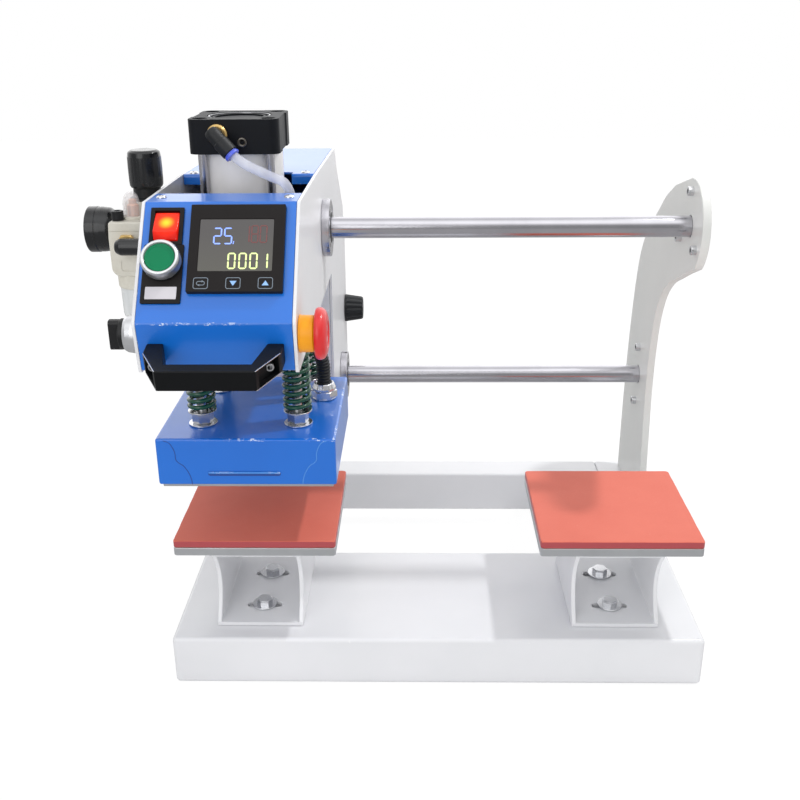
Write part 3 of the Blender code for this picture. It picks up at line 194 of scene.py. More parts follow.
def foamRubber(name, color, shade):
    # Silicone foam: a skin of tiny closed cells with soft press marks and heat-darkened clouds
    foam = Finish(name, Sheen_Weight=0.16, Sheen_Roughness=0.45, Specular_IOR_Level=0.7)
    cells = foam.add("ShaderNodeTexVoronoi", {"feature": "F1"}, {"Vector": foam.where, "Scale": 1500})
    skin = foam.noise(480)
    clouds = foam.noise(14, 4.0)
    lint = foam.noise(900, 1.0, 0.5).above(0.80, 0.02)
    base = foam.blend(clouds.above(0.52, 0.2), color, shade)
    base = foam.blend(lint * 0.5, base, "#f0c8bc")
    # Faces with the face mark, the cut sides, take a darker red
    foam.show("Base Color", foam.blend(foam.mark("face_mark"), base, "#b04248"))
    foam.show("Roughness", 0.60 + skin * 0.15)
    foam.relief(cells + skin * 0.8, 0.22, 0.0004)
    return foam.material


def castMetal(name, color, shade):
    # Enamelled die casting, a little rough, with patches of grime
    enamel = Finish(name, Coat_Weight=0.15, Coat_Roughness=0.2)
    lumps = enamel.noise(230, 4.0)
    grime = enamel.noise(45, 4.0, 0.7)
    enamel.show("Base Color", enamel.blend(grime.above(0.55, 0.2), color, shade))
    enamel.show("Roughness", 0.42 + grime * 0.15)
    enamel.relief(lumps, 0.18, 0.0006)
    return enamel.material


def clearShell(name, tint, roughness, alpha):
    # Thin clear plastic: mostly see-through, with faint streaks from moulding
    shell = Finish(name, Specular_IOR_Level=0.6)
    streak = shell.noise(80, place=shell.stretched(1, 1, 0.15))
    shell.show("Base Color", shell.blend(streak.above(0.5, 0.2), tint, tone(tint, 1.15)))
    shell.show("Roughness", roughness + streak * 0.1)
    shell.show("Alpha", alpha + streak * 0.14)
    return shell.material


def litRocker(name, centre):
    # The lens of a lit switch: red, with a yellow lamp behind its middle
    lens = Finish(name, Coat_Weight=0.1, Coat_Roughness=0.12, Specular_IOR_Level=0.25, Emission_Strength=1)
    values = {0: lens.where, 1: centre}
    away = lens.add("ShaderNodeVectorMath", {"operation": "DISTANCE"}, values, output="Value")
    glow = away.ramp(0.0072, 0.0004, "SMOOTHSTEP")
    ring = away.ramp(0.015, 0.004, "SMOOTHSTEP")
    ribs = lens.noise(150)
    red = lens.blend(ring, "#c41206", "#f03010")
    lens.show("Base Color", lens.blend(glow, red, "#ffb02a"))
    dim = lens.blend(ring * (0.7 + ribs * 0.5), "#8a0e06", "#e22c0c")
    lens.show("Emission Color", lens.blend(glow, dim, "#ffa81e"))
    lens.show("Roughness", 0.16 + ribs * 0.12)
    lens.relief(ribs, 0.15, 0.0005)
    return lens.material


def printedLine(name, color, strength):
    # A lit or printed mark on the display
    ink = Finish(name, Roughness=0.4, Emission_Strength=strength)
    flicker = ink.noise(700, 2.0, 0.5)
    lit = ink.blend(flicker.above(0.5, 0.3), color, tone(color, 0.86))
    ink.show("Base Color", lit)
    ink.show("Emission Color", lit)
    return ink.material


def displayGlass(name, low, high):
    # The unlit liquid crystal: warm grey, greener towards the counter, with a faint lengthwise haze
    glass = Finish(name, Coat_Weight=0.5, Coat_Roughness=0.06, Emission_Strength=0.35)
    height = glass.add("ShaderNodeSeparateXYZ", {}, {0: glass.where}, output="Z")
    haze = glass.noise(60)
    base = glass.blend(height.ramp(high, low) * 0.85 + haze * 0.08, "#2f2b2b", "#3c3b31")
    glass.show("Base Color", base)
    glass.show("Emission Color", base)
    glass.show("Roughness", 0.2 + haze * 0.02)
    return glass.material


def gaugeCard(name, color, shade):
    # The dial's pale card
    card = Finish(name)
    fibre = card.noise(600)
    card.show("Base Color", card.blend(fibre.above(0.5, 0.3), color, shade))
    card.show("Roughness", 0.5 + fibre * 0.2)
    return card.material


# Each finish, under the CAD material that most of its pieces stand for
finishes = {
    "white_paint": {
        "white": paintedSteel("white_powder", "#eeeef1", "#e7e8eb", "#fbfbfb", 0.30, 0.34),
        "arm": paintedSteel("arm_powder", "#e2e3e0", "#d9dad7", "#f4f4f2", 0.36, 0.30),
    },
    "blue_paint": {
        "blue": paintedSteel("blue_powder", "#0e72da", "#0c6cd2", "#dcebff", 0.26, 0.435, 0.36),
        # Painted shade and painted highlight: the same blue, dark where a seam's or strip's edge faces away
        # from the light, light where it faces it
        "blueShaded": paintedSteel("blue_seam", "#123f8a", "#174a9c", "#9cc6f5", 0.3, 0.20),
        "blueLit": paintedSteel("blue_rubbed", "#5fa4ee", "#2f80da", "#f0f7ff", 0.3, 0.49),
    },
    "chrome": {
        "chrome": turnedMetal("hard_chrome", "#bfbec4", 0.15, (0.06, 3, 3), relief=0.02),
        "ring": turnedMetal("satin_ring", "#d2d3d6", 0.24, (1, 1, 1), 0.85, 0.02),
    },
    "steel": {
        "zinc": turnedMetal("zinc_plate", "#d9dadd", 0.18, (2, 2, 4), relief=0.012),
        "steel": turnedMetal("ground_steel", "#b9babd", 0.22, (4, 1, 1)),
        "gunmetal": turnedMetal("dark_steel", "#6f6b66", 0.30, (3, 3, 3), relief=0.02),
    },
    "aluminium": {
        "barrel": turnedMetal("drawn_aluminium", "#f4f2f2", 0.24, (5, 5, 0.08), 0.08, 0.03),
        "aluminium": turnedMetal("milled_aluminium", "#c9cbce", 0.34, (0.3, 3, 3), 0.85),
    },
    "black_metal": {
        "anodised": mouldedPlastic("black_anodised", "#121419", 0.44, "#181b21", 1100, shine=0.16),
    },
    "black_plastic": {
        "plastic": mouldedPlastic("black_moulding", "#111214", 0.36, "#1c1d1f", shine=0.35),
        "bezel": mouldedPlastic("bezel_black", "#1e1b1b", 0.42, "#242222", 1400, shine=0.14),
        "gloss": mouldedPlastic("gloss_black", "#0c0e12", 0.20, "#161a20", 500, 0.3, 0.4),
        "gripBlack": mouldedPlastic("grip_black", "#080a0d", 0.40, "#0d1013", 800, shine=0.18),
        "rubber": mouldedPlastic("soft_black", "#0f1216", 0.42, "#1a2026", 700, shine=0.4),
        "label": mouldedPlastic("label_card", "#d9d6dc", 0.5, "#cbc8d0", 500),
        "ink": mouldedPlastic("dial_ink", "#26282c", 0.6, "#33363a", 500),
        "lens": clearShell("gauge_lens", "#e8eef2", 0.03, 0.16),
        "card": gaugeCard("gauge_card", "#f0f0ea", "#dddcd2"),
    },
    "red_plastic": {
        "red": mouldedPlastic("stop_red", "#db2226", 0.24, "#e23438", 500, 0.3, 0.4),
        "pointer": mouldedPlastic("pointer_red", "#c0241c", 0.35, "#d03a30", 500),
        "rocker": litRocker("lit_lens", (-0.2088, -0.1260, 0.4505)),
    },
    "yellow_plastic": {"yellow": mouldedPlastic("stop_yellow", "#fba80a", 0.30, "#fdb41c", 700, 0.1, 0.35)},
    "green_plastic": {"green": mouldedPlastic("cap_green", "#007c50", 0.34, "#028458", 700, shine=0.22)},
    "spring_paint": {"spring": mouldedPlastic("spring_green", "#07452f", 0.18, "#0c523a", 350, 0.35)},
    "silicone": {"foam": foamRubber("silicone_foam", "#e26f59", "#db6650")},
    "cream_paint": {"cast": castMetal("cream_casting", "#dad7cc", "#cbc7ba")},
    "clear_plastic": {
        "bowl": clearShell("smoked_bowl", "#dcdfe0", 0.18, 0.78),
        "dome": clearShell("clear_dome", "#eeecee", 0.05, 0.18),
        "tube": clearShell("clear_tube", "#e6e8f6", 0.06, 0.38),
        "copper": turnedMetal("copper", "#e0a27c", 0.26, (3, 3, 3)),
        "display": displayGlass("display_glass", 0.415, 0.445),
        "blueDigit": printedLine("digit_blue", "#86a4ff", 0.8),
        "redDigit": printedLine("digit_red", "#6a3a3a", 0.35),
        "limeDigit": printedLine("digit_lime", "#d6e89a", 0.8),
        # Printed key icons and frames given a faint glow: painted light
        "icon": printedLine("icon_blue", "#86aede", 0.45),
        "iconLine": printedLine("icon_line", "#76828e", 0.25),
    },
    None: {
        "brass": turnedMetal("brass", "#d9b878", 0.26, (3, 3, 3), relief=0.02),
        "release": mouldedPlastic("release_blue", "#4a5fe0", 0.28, "#6a80f0", 700, 0.3),
    },
}
paints = {word: finish for group in finishes.values() for word, finish in group.items()}
print("finishes made:", len(paints))


# Shapes, each a closed bmesh

turnOrder = {"X": (2, 0, 1), "Y": (0, 2, 1), "Z": (0, 1, 2)}


def prism(outline, low, high, axis="X"):
    shape = bmesh.new()
    rings = []
    for level in (low, high):
        corners = [(a, b, level) for a, b in outline]
        rings.append([shape.verts.new([corner[i] for i in turnOrder[axis]]) for corner in corners])
        shape.faces.new(rings[-1])
    for i, start in enumerate(rings[0]):
        after = (i + 1) % len(outline)
        shape.faces.new((start, rings[0][after], rings[1][after], rings[1][i]))
    bmesh.ops.recalc_face_normals(shape, faces=shape.faces)
    return shape


def block(low, high):
    outline = ((low[0], low[1]), (high[0], low[1]), (high[0], high[1]), (low[0], high[1]))
    return prism(outline, low[2], high[2], "Z")


def lofted(rows, ring=False):
    # Closed rows of points joined each to the next, with flat ends, or the last to the first in a ring
    shape = bmesh.new()
    loops = [[shape.verts.new(point) for point in row] for row in rows]
    pairs = list(zip(loops, loops[1:]))
    if ring:
        pairs.append((loops[-1], loops[0]))
    for lower, upper in pairs:
        count = max(len(lower), len(upper))
        for k in range(count):
            after = (k + 1) % count
            corners = [lower[k % len(lower)], lower[after % len(lower)]]
            corners += [upper[after % len(upper)], upper[k % len(upper)]]
            unlike = list(dict.fromkeys(corners))
            if len(unlike) > 2:
                shape.faces.new(unlike)
    if not ring:
        for loop in (loops[0], loops[-1]):
            if len(loop) > 1:
                shape.faces.new(loop)
    bmesh.ops.recalc_face_normals(shape, faces=shape.faces)
    return shape


def turned(profile, sides=64, axis="Z", ring=False, flute=None):
    # A profile of (radius, height) points turned round the axis; flute(angle, height) changes the radius
    rows = []
    for radius, height in profile:
        row = []
        for k in range(sides if radius > 0 else 1):
            angle = 2 * math.pi * k / sides
            reach = radius + (flute(angle, height) if flute and radius > 0 else 0)
            corner = (reach * math.cos(angle), reach * math.sin(angle), height)
            row.append([corner[i] for i in turnOrder[axis]])
        rows.append(row)
    return lofted(rows, ring)


def softProfile(profile, radius, steps=4, closed=False):
    # The same profile with its corners rounded; each corner's arc fits the shorter side
    points = [Vector(p[:2]) for p in profile]
    soft = []
    for i, corner in enumerate(points):
        before = points[i - 1] - corner
        after = points[(i + 1) % len(points)] - corner
        wanted = profile[i][2] if len(profile[i]) > 2 else radius
        tip = not closed and i in (0, len(points) - 1)
        folded = min(before.length, after.length) < 1e-7
        if tip or folded or wanted <= 0 or before.angle(after) > math.pi - 0.05:
            soft.append(tuple(corner))
            continue
        turn = before.angle(after)
        run = min(wanted / math.tan(turn / 2), 0.48 * before.length, 0.48 * after.length)
        start = corner + before.normalized() * run
        end = corner + after.normalized() * run
        for k in range(steps + 1):
            t = k / steps
            soft.append(tuple((1 - t) ** 2 * start + 2 * t * (1 - t) * corner + t * t * end))
    return soft


def lathe(profile, radius, steps, sides, axis="Z", ring=False, flute=None):
    # A turned shape with soft corners; a ring's profile is closed
    return turned(softProfile(profile, radius, steps, ring), sides, axis, ring, flute)


def rod(radius, low, high, sides=32, axis="Z", edge=0.0):
    profile = ((radius, low), (radius, high))
    if edge:
        profile = (
            (radius - edge, low), (radius, low + edge), (radius, high - edge), (radius - edge, high),
        )
    return turned(profile, sides, axis)


def moved(shape, x=0.0, y=0.0, z=0.0):
    bmesh.ops.translate(shape, verts=shape.verts, vec=(x, y, z))
    return shape


def placed(shape, at):
    # The shape moved to a point, or turned and moved by a matrix
    if isinstance(at, Matrix):
        shape.transform(at)
    elif at:
        moved(shape, *at)
    return shape


def mirrored(shape):
    shape.transform(Matrix.Scale(-1, 4, (1, 0, 0)))
    bmesh.ops.recalc_face_normals(shape, faces=shape.faces)
    return shape


def together(*shapes):
    whole = bmesh.new()
    for shape in shapes:
        scratch = bpy.data.meshes.new("scratch")
        shape.to_mesh(scratch)
        shape.free()
        whole.from_mesh(scratch)
        bpy.data.meshes.remove(scratch)
    return whole


def arcCorners(points, steps=6):
    # A closed outline of (a, b, radius) corners with true arcs
    outline = []
    for i, (a, b, radius) in enumerate(points):
        corner = Vector((a, b))
        before = Vector(points[i - 1][:2]) - corner
        after = Vector(points[(i + 1) % len(points)][:2]) - corner
        turn = before.angle(after)
        if radius <= 0 or turn > math.pi - 0.02:
            outline.append((a, b))
            continue
        run = min(radius / math.tan(turn / 2), 0.49 * before.length, 0.49 * after.length)
        radius = run * math.tan(turn / 2)
        inward = (before.normalized() + after.normalized()).normalized()
        middle = corner + inward * (radius / math.sin(turn / 2))
        start = corner + before.normalized() * run - middle
        end = corner + after.normalized() * run - middle
        sweep = math.atan2(start.x * end.y - start.y * end.x, start.dot(end))
        for k in range(steps + 1):
            t = sweep * k / steps
            x = start.x * math.cos(t) - start.y * math.sin(t)
            y = start.x * math.sin(t) + start.y * math.cos(t)
            outline.append(tuple(middle + Vector((x, y))))
    return outline


def roundedRectangle(width, height, radius, steps=6, x=0.0, y=0.0):
    corners = [(a * width / 2, b * height / 2) for a, b in ((-1, -1), (1, -1), (1, 1), (-1, 1))]
    return arcCorners([(a + x, b + y, radius) for a, b in corners], steps)


def bentSheet(path, thickness, radius, steps=6):
    # The closed outline of a sheet bent along the path, to its left, or right if thickness is negative
    points = [Vector(p) for p in path]
    last = len(points) - 1
    inner = []
    for i, point in enumerate(points):
        normals = []
        for start, end in zip(points[max(i - 1, 0):i + 1], points[max(i, 1):i + 2]):
            along = (end - start).normalized()
            normals.append(Vector((-along.y, along.x)))
        middle = sum(normals, Vector((0.0, 0.0))).normalized()
        inner.append(point + middle * (thickness / middle.dot(normals[0])))
    corners = []
    for side, row in ((0, points), (1, inner)):
        for i, point in enumerate(row):
            before = points[i] - points[max(i - 1, 0)]
            after = points[min(i + 1, last)] - points[i]
            left = before.x * after.y - before.y * after.x > 0
            inside = (left == (thickness > 0)) == bool(side)
            size = 0.0 if i in (0, last) else (max(radius - abs(thickness), 0.0003) if inside else radius)
            corners.append((point.x, point.y, size))
    return arcCorners(corners[:last + 1] + corners[last + 1:][::-1], steps)


# Pieces


def linked(name, data):
    obj = bpy.data.objects.new(name, data)
    bpy.context.scene.collection.objects.link(obj)
    return obj


def removed(obj):
    bpy.data.objects.remove(obj, do_unlink=True)


def meshOf(obj):
    # What the object's modifiers make, as a plain mesh
    bpy.context.view_layer.update()
    found = obj.evaluated_get(bpy.context.evaluated_depsgraph_get())
    mesh = bpy.data.meshes.new_from_object(found)
    obj.modifiers.clear()
    return mesh


def rawObject(name, shape, *materials):
    mesh = bpy.data.meshes.new(name)
    shape.to_mesh(mesh)
    shape.free()
    for material in materials:
        mesh.materials.append(material)
    return linked(name, mesh)


def fromMesh(mesh):
    shape = bmesh.new()
    shape.from_mesh(mesh)
    return shape


def settle(obj, body, replaced):
    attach(obj, body)
    if replaced:
        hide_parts(*replaced)
    return obj


def smoothed(obj, angle=32):
    obj.data.shade_smooth()
    obj.data.set_sharp_from_angle(angle=math.radians(angle))
    even = obj.modifiers.new("even shading", "WEIGHTED_NORMAL")
    even.keep_sharp = True
    obj.data = meshOf(obj)


def roundEdges(obj, edge, steps, marked=True):
    # The rounded faces take the second material, which marks them for painted edge highlights
    rounding = obj.modifiers.new("rounded edges", "BEVEL")
    rounding.width = edge
    rounding.segments = steps
    rounding.limit_method = "ANGLE"
    rounding.angle_limit = math.radians(40)
    rounding.material = 1 if marked else -1
    obj.data = meshOf(obj)


def combine(obj, joins, cuts):
    # The object's mesh with shapes joined to it and cut out of it
    tools = []
    for operation, shapes in (("UNION", joins), ("DIFFERENCE", cuts)):
        for shape in shapes:
            tools.append(rawObject("tool", shape, *obj.data.materials[:1]))
            change = obj.modifiers.new(operation, "BOOLEAN")
            change.operation = operation
            change.solver = "EXACT"
            change.object = tools[-1]
    if tools:
        obj.data = meshOf(obj)
    for tool in tools:
        removed(tool)


def carve(shape, *cutters):
    # A shape with others cut out of it, before it is copied or joined
    obj = rawObject("carving", shape)
    combine(obj, (), cutters)
    cut = fromMesh(obj.data)
    removed(obj)
    return cut


def markFaces(mesh):
    # The second material becomes the face mark: painted edge highlights on paint, the darker cut sides on
    # foam
    face_mark = mesh.attributes.new("face_mark", "FLOAT", "CORNER")
    for face in mesh.polygons:
        if face.material_index == 1:
            for corner in face.loop_indices:
                face_mark.data[corner].value = 1.0
            face.material_index = 0
    while len(mesh.materials) > 1:
        mesh.materials.pop()


def setFaceMark(obj, value, chosen):
    # Sets the face mark, which places painted highlight flecks, on the faces whose centres are chosen
    face_mark = obj.data.attributes["face_mark"].data
    for face in obj.data.polygons:
        if chosen(face.center):
            for corner in face.loop_indices:
                face_mark[corner].value = value


def made(
    name, shape, paint, *replaced, body="carriage", slot=None, at=None, edge=0.0, steps=2, cuts=(),
    joins=(), angle=32, softFirst=False
):
    # One finished piece at its place: joins, cuts and rounded edges, which carry the face mark for painted
    # highlight flecks
    obj = rawObject(name, placed(shape, at), paints[paint], paints[paint])
    if edge and softFirst:
        roundEdges(obj, edge, steps)
    combine(obj, [placed(join, at) for join in joins], [placed(cut, at) for cut in cuts])
    if edge and not softFirst:
        roundEdges(obj, edge, steps)
    markFaces(obj.data)
    smoothed(obj, angle)
    return settle(obj, body, replaced)


def carried(name, node, paint, edge, body="carriage"):
    # A CAD node's own shape, merged and with softened edges
    shape = fromMesh(nodes[node].data)
    bmesh.ops.remove_doubles(shape, verts=shape.verts, dist=1e-6)
    flat = math.radians(0.5)
    bmesh.ops.dissolve_limit(
        shape, angle_limit=flat, verts=shape.verts, edges=shape.edges, use_dissolve_boundaries=False
    )
    made(name, shape, paint, node, body=body, edge=edge)


# Geometry Nodes: copies of a shape on points, a wound spring and a hose


class Grown(Bench):
    # A geometry tree with named inputs, run once on an object whose mesh is replaced by the result
    def __init__(self, name, **inputs):
        tree = bpy.data.node_groups.new(name, "GeometryNodeTree")
        super().__init__(tree)
        tree.interface.new_socket("Geometry", in_out="INPUT", socket_type="NodeSocketGeometry")
        for word, kind in (*inputs.items(), ("Material", "Material")):
            tree.interface.new_socket(word, in_out="INPUT", socket_type=f"NodeSocket{kind}")
        tree.interface.new_socket("Geometry", in_out="OUTPUT", socket_type="NodeSocketGeometry")
        self.entry = tree.nodes.new("NodeGroupInput")
        self.exit = tree.nodes.new("NodeGroupOutput")

    def given(self, word):
        return Wire(self, self.entry.outputs[word])

    def node(self, kind, settings=None, output=0, **values):
        values = {word.replace("_", " "): value for word, value in values.items()}
        return self.add(f"GeometryNode{kind}", settings, values, output)

    def result(self, geometry):
        whole = self.node("RealizeInstances", Geometry=geometry)
        painted = self.node("SetMaterial", Geometry=whole, Material=self.given("Material"))
        self.feed(self.exit.inputs[0], painted)

    def run(self, name, points, **values):
        mesh = bpy.data.meshes.new(name)
        mesh.from_pydata([tuple(p[0]) for p in points], [], [])
        turns = mesh.attributes.new("turn", "FLOAT_VECTOR", "POINT")
        for k, point in enumerate(points):
            turns.data[k].vector = tuple(point[1]) if len(point) > 1 else (0, 0, 0)
        obj = linked(name, mesh)
        growth = obj.modifiers.new(self.tree.name, "NODES")
        growth.node_group = self.tree
        for item in self.tree.interface.items_tree:
            if item.in_out == "INPUT" and item.name in values:
                growth[item.identifier] = values[item.name]
        obj.data = meshOf(obj)
        return obj


def copiesTree():
    tree = Grown("copies on points", Shape="Object")
    shape = tree.node("ObjectInfo", output="Geometry", Object=tree.given("Shape"))
    turn = tree.node("InputNamedAttribute", {"data_type": "FLOAT_VECTOR"}, Name="turn")
    turn = tree.add("FunctionNodeEulerToRotation", {}, {0: turn})
    tree.result(
        tree.node("InstanceOnPoints", Points=tree.given("Geometry"), Instance=shape, Rotation=turn),
    )
    return tree


def springTree():
    # A round wire wound at each point: open turns in the middle, one closed turn at each end
    tree = Grown(
        "wound spring", Turns="Float", Radius="Float", Wire="Float", Height="Float", Closed="Float",
        Steps="Int"
    )
    line = tree.node("CurvePrimitiveLine", {"mode": "POINTS"}, Start=(0, 0, 0), End=(0, 0, 1))
    line = tree.node("ResampleCurve", {"mode": "COUNT"}, Curve=line, Count=tree.given("Steps"))
    share = tree.node("SplineParameter", output="Factor")
    turns = tree.given("Turns")
    turn = share * turns
    angle = turn * (2 * math.pi)
    radius = tree.given("Radius")
    closed = tree.given("Closed")
    openPitch = (tree.given("Height") - closed * 2) / (turns - 2)
    low = turn.math("MINIMUM", 1)
    middle = (turn - 1).math("MAXIMUM", 0).math("MINIMUM", turns - 2)
    high = (turn - turns + 1).math("MAXIMUM", 0)
    climb = closed * low + openPitch * middle + closed * high
    values = {"X": radius * angle.math("COSINE"), "Y": radius * angle.math("SINE"), "Z": climb}
    wound = tree.node("SetPosition", Geometry=line, Position=tree.add("ShaderNodeCombineXYZ", {}, values))
    ring = tree.node("CurvePrimitiveCircle", Resolution=12, Radius=tree.given("Wire") * 0.5)
    wire = tree.node("CurveToMesh", Curve=wound, Profile_Curve=ring, Fill_Caps=True)
    wire = tree.node("SetShadeSmooth", Geometry=wire, Shade_Smooth=True)
    tree.result(tree.node("InstanceOnPoints", Points=tree.given("Geometry"), Instance=wire))
    return tree


def hoseTree():
    # A round hose along a guide curve, whose ribs follow its length
    tree = Grown(
        "ribbed hose", Guide="Object", Radius="Float", Groove="Float", Pitch="Float", Step="Float",
        Sides="Int"
    )
    guide = tree.node("ObjectInfo", output="Geometry", Object=tree.given("Guide"))
    guide = tree.node("ResampleCurve", {"mode": "LENGTH"}, Curve=guide, Length=tree.given("Step"))
    along = tree.node("SplineParameter", output="Length")
    wave = (along / tree.given("Pitch") * (2 * math.pi)).math("COSINE")
    wave = (wave * 0.5 + 0.5) ** 0.6
    size = 1 - tree.given("Groove") * (1 - wave)
    ring = tree.node("CurvePrimitiveCircle", Resolution=tree.given("Sides"), Radius=tree.given("Radius"))
    skin = tree.node("CurveToMesh", Curve=guide, Profile_Curve=ring, Scale=size, Fill_Caps=True)
    tree.result(tree.node("SetShadeSmooth", Geometry=skin, Shade_Smooth=True))
    return tree


copyTree = copiesTree()
windTree = springTree()
ribTree = hoseTree()


def copies(name, shape, points, paint, *replaced, body="carriage", slot=None, edge=0.0):
    # The shape at each (place, turn), made by the copies tree
    master = rawObject(f"{name}_master", shape, paints[paint])
    if edge:
        roundEdges(master, edge, 2, False)
    smoothed(master)
    obj = copyTree.run(name, points, Shape=master, Material=paints[paint])
    removed(master)
    settle(obj, body, replaced)


def hose(name, points, paint, *replaced, body="carriage", **sizes):
    curve = bpy.data.curves.new(name, "CURVE")
    curve.dimensions = "3D"
    spline = curve.splines.new("POLY")
    spline.points.add(len(points) - 1)
    for k, point in enumerate(points):
        spline.points[k].co = (*point, 1.0)
    guide = linked(f"{name}_guide", curve)
    guide.hide_render = True
    obj = ribTree.run(name, [((0, 0, 0),)], Guide=guide, Material=paints[paint], **sizes)
    removed(guide)
    settle(obj, body, replaced)


def smoothRoute(points, perSpan=16):
    # A smooth curve through the points, with straight ends
    points = [Vector(p) for p in points]
    route = [points[0]]
    for a, b, c, d in zip(points, points[1:], points[2:], points[3:]):
        for k in range(perSpan):
            t = k / perSpan
            bend = (2 * a - 5 * b + 4 * c - d) * t**2 + (3 * b - a - 3 * c + d) * t**3
            route.append(0.5 * (2 * b + (c - a) * t + bend))
    return [*route, points[-2], points[-1]]


def smoothLine(points, perSpan=6):
    # The same in the plane, from the first point to the last
    row = [Vector((*p, 0)) for p in points]
    row = [2 * row[0] - row[1], *row, 2 * row[-1] - row[-2]]
    return [(p.x, p.y) for p in smoothRoute(row, perSpan)[1:-1]]


# Fasteners, each standing on z = 0


def hexShape(acrossFlats, height, bothEnds=False):
    # A hexagon whose corners are turned off at 30 degrees
    flat = acrossFlats / 2
    slope = math.tan(math.radians(30))
    drop = flat * 0.19 * slope
    levels = [height - drop * k / 3 for k in (3, 2, 1, 0)]
    levels = [drop * k / 3 for k in (0, 1, 2, 3)] + levels if bothEnds else [0.0, *levels]

    def toHexagon(angle, level):
        hexagon = flat / math.cos((angle % (math.pi / 3)) - math.pi / 6)
        reach = min(hexagon, flat * 0.965 + (height - level) / slope)
        if bothEnds:
            reach = min(reach, flat * 0.965 + level / slope)
        return reach - flat

    return turned([(flat, level) for level in levels], 72, flute=toHexagon)


def socketHead(diameter, height, key):
    radius = diameter / 2
    rim = radius * 0.10
    profile = (
        (radius, 0), (radius, height - rim), (radius - rim * 0.4, height - rim * 0.35),
        (radius - rim, height),
    )
    corner = key / 2 / math.cos(math.pi / 6)
    return carve(turned(profile, 40), turned(((corner, height * 0.35), (corner, height * 2)), 6))


def panHead(diameter, height):
    radius = diameter / 2
    profile = [(radius, 0), (radius, height * 0.25)]
    for k in range(1, 6):
        angle = math.pi / 2 * k / 6
        profile.append((radius * math.cos(angle), height * (0.25 + 0.75 * math.sin(angle))))
    profile.append((0.0, height))
    arm = radius * 0.58
    slim = radius * 0.13
    one = block((-arm, -slim, height * 0.45), (arm, slim, height * 2))
    two = block((-slim, -arm, height * 0.451), (slim, arm, height * 2.1))
    return carve(turned(profile, 36), one, two)


def washer(diameter, bore, thickness):
    profile = ((bore / 2, 0), (diameter / 2, 0), (diameter / 2, thickness), (bore / 2, thickness))
    return lathe(profile, thickness * 0.3, 3, 56, ring=True)


def onCircle(radius, angle, a=0.0, b=0.0):
    return a + radius * math.cos(angle), b + radius * math.sin(angle)


quarter = math.pi / 2
layDown = Matrix.Rotation(quarter, 4, "X")
facing = {1: (0, quarter, 0), -1: (0, -quarter, 0)}
sides = (("left", -1), ("right", 1))


# Base and rear frame

base = {
    "width": 0.500, "front": -0.090, "back": 0.072, "rear": 0.304, "height": 0.050, "wall": 0.003,
    "round": 0.0042, "beam": 0.040, "beamWall": 0.0025, "beamRound": 0.0025, "boltPitch": 0.058,
    "clear": 0.0003, "hole": 0.0043, "holeY": 0.029,
}
stationX = 0.169
middleY = (base["front"] + base["back"]) / 2


def makeBeam(name, node, low, high, boreLow, boreHigh, edge, steps, cuts=()):
    # A box or tube, hollow between the bore's corners
    made(
        name, block(low, high), "white", node, body="frame", edge=edge, steps=steps,
        cuts=(block(boreLow, boreHigh), *cuts), softFirst=True,
    )


def makeBase():
    half = base["width"] / 2
    wall = base["wall"]
    top = base["height"]
    thin = base["beamWall"]
    rear = base["rear"]
    holes = together(*[
        moved(rod(base["hole"], top - 2 * wall, top + wall), side * stationX, middleY + y)
        for side in (-1, 1) for y in (-base["holeY"], base["holeY"])
    ])
    makeBeam(
        "base_box", "base_beam", (-half, base["front"], 0), (half, base["back"], top),
        (-half + wall, base["front"] + wall, wall), (half - wall, base["back"] - wall, top - wall),
        base["round"], 5, (holes,),
    )
    inner = half - base["beam"]
    for word, side in sides:
        low, high = sorted((side * inner, side * half))
        makeBeam(
            f"{word}_side_tube", f"{word}_side_beam", (low, base["back"] + base["clear"], 0),
            (high, rear, top), (low + thin, base["back"] - wall, thin),
            (high - thin, rear - thin, top - thin), base["beamRound"], 4,
        )
    reach = inner - base["clear"]
    front = rear - base["beam"]
    makeBeam(
        "rear_tube", "rear_beam", (-reach, front, 0), (reach, rear, top),
        (-reach - wall, front + thin, thin), (reach + wall, rear - thin, top - thin), base["beamRound"], 4,
    )
    print("base made")


# Arms, with their noses round the upper rail

arm = {
    "inner": 0.2385, "thickness": 0.008, "nose": 0.045, "circle": 0.033, "depth": 0.228, "rise": 0.356,
    "edge": 0.0009, "bore": 0.0103, "noseFrom": 4.10, "noseTo": 1.30,
    "front": (
        (0.456, 0.0), (0.466, 0.08), (0.490, 0.24), (0.508, 0.40), (0.498, 0.54),
        (0.460, 0.65), (0.385, 0.735), (0.270, 0.795), (0.130, 0.835), (0.010, 0.868),
    ),
    "back": (
        (0.290, 1.078), (0.440, 1.030), (0.560, 0.975), (0.690, 0.918), (0.800, 0.855),
        (0.875, 0.780), (0.930, 0.660), (0.970, 0.500), (0.995, 0.300), (1.0, 0.120), (1.0, 0.0),
    ),
}
upperRail = (0.066, 0.406)
lowerRail = (0.226, 0.199)
rails = (("upper", upperRail), ("lower", lowerRail))


def armOutline():
    low = base["height"] + base["clear"]
    front, back = (
        smoothLine([(upperRail[0] + arm["depth"] * y, low + arm["rise"] * z) for y, z in arm[edge]])
        for edge in ("front", "back")
    )
    start, sweep = arm["noseFrom"], arm["noseTo"] - arm["noseFrom"]
    return front + [onCircle(arm["nose"], start + sweep * k / 41, *upperRail) for k in range(1, 41)] + back


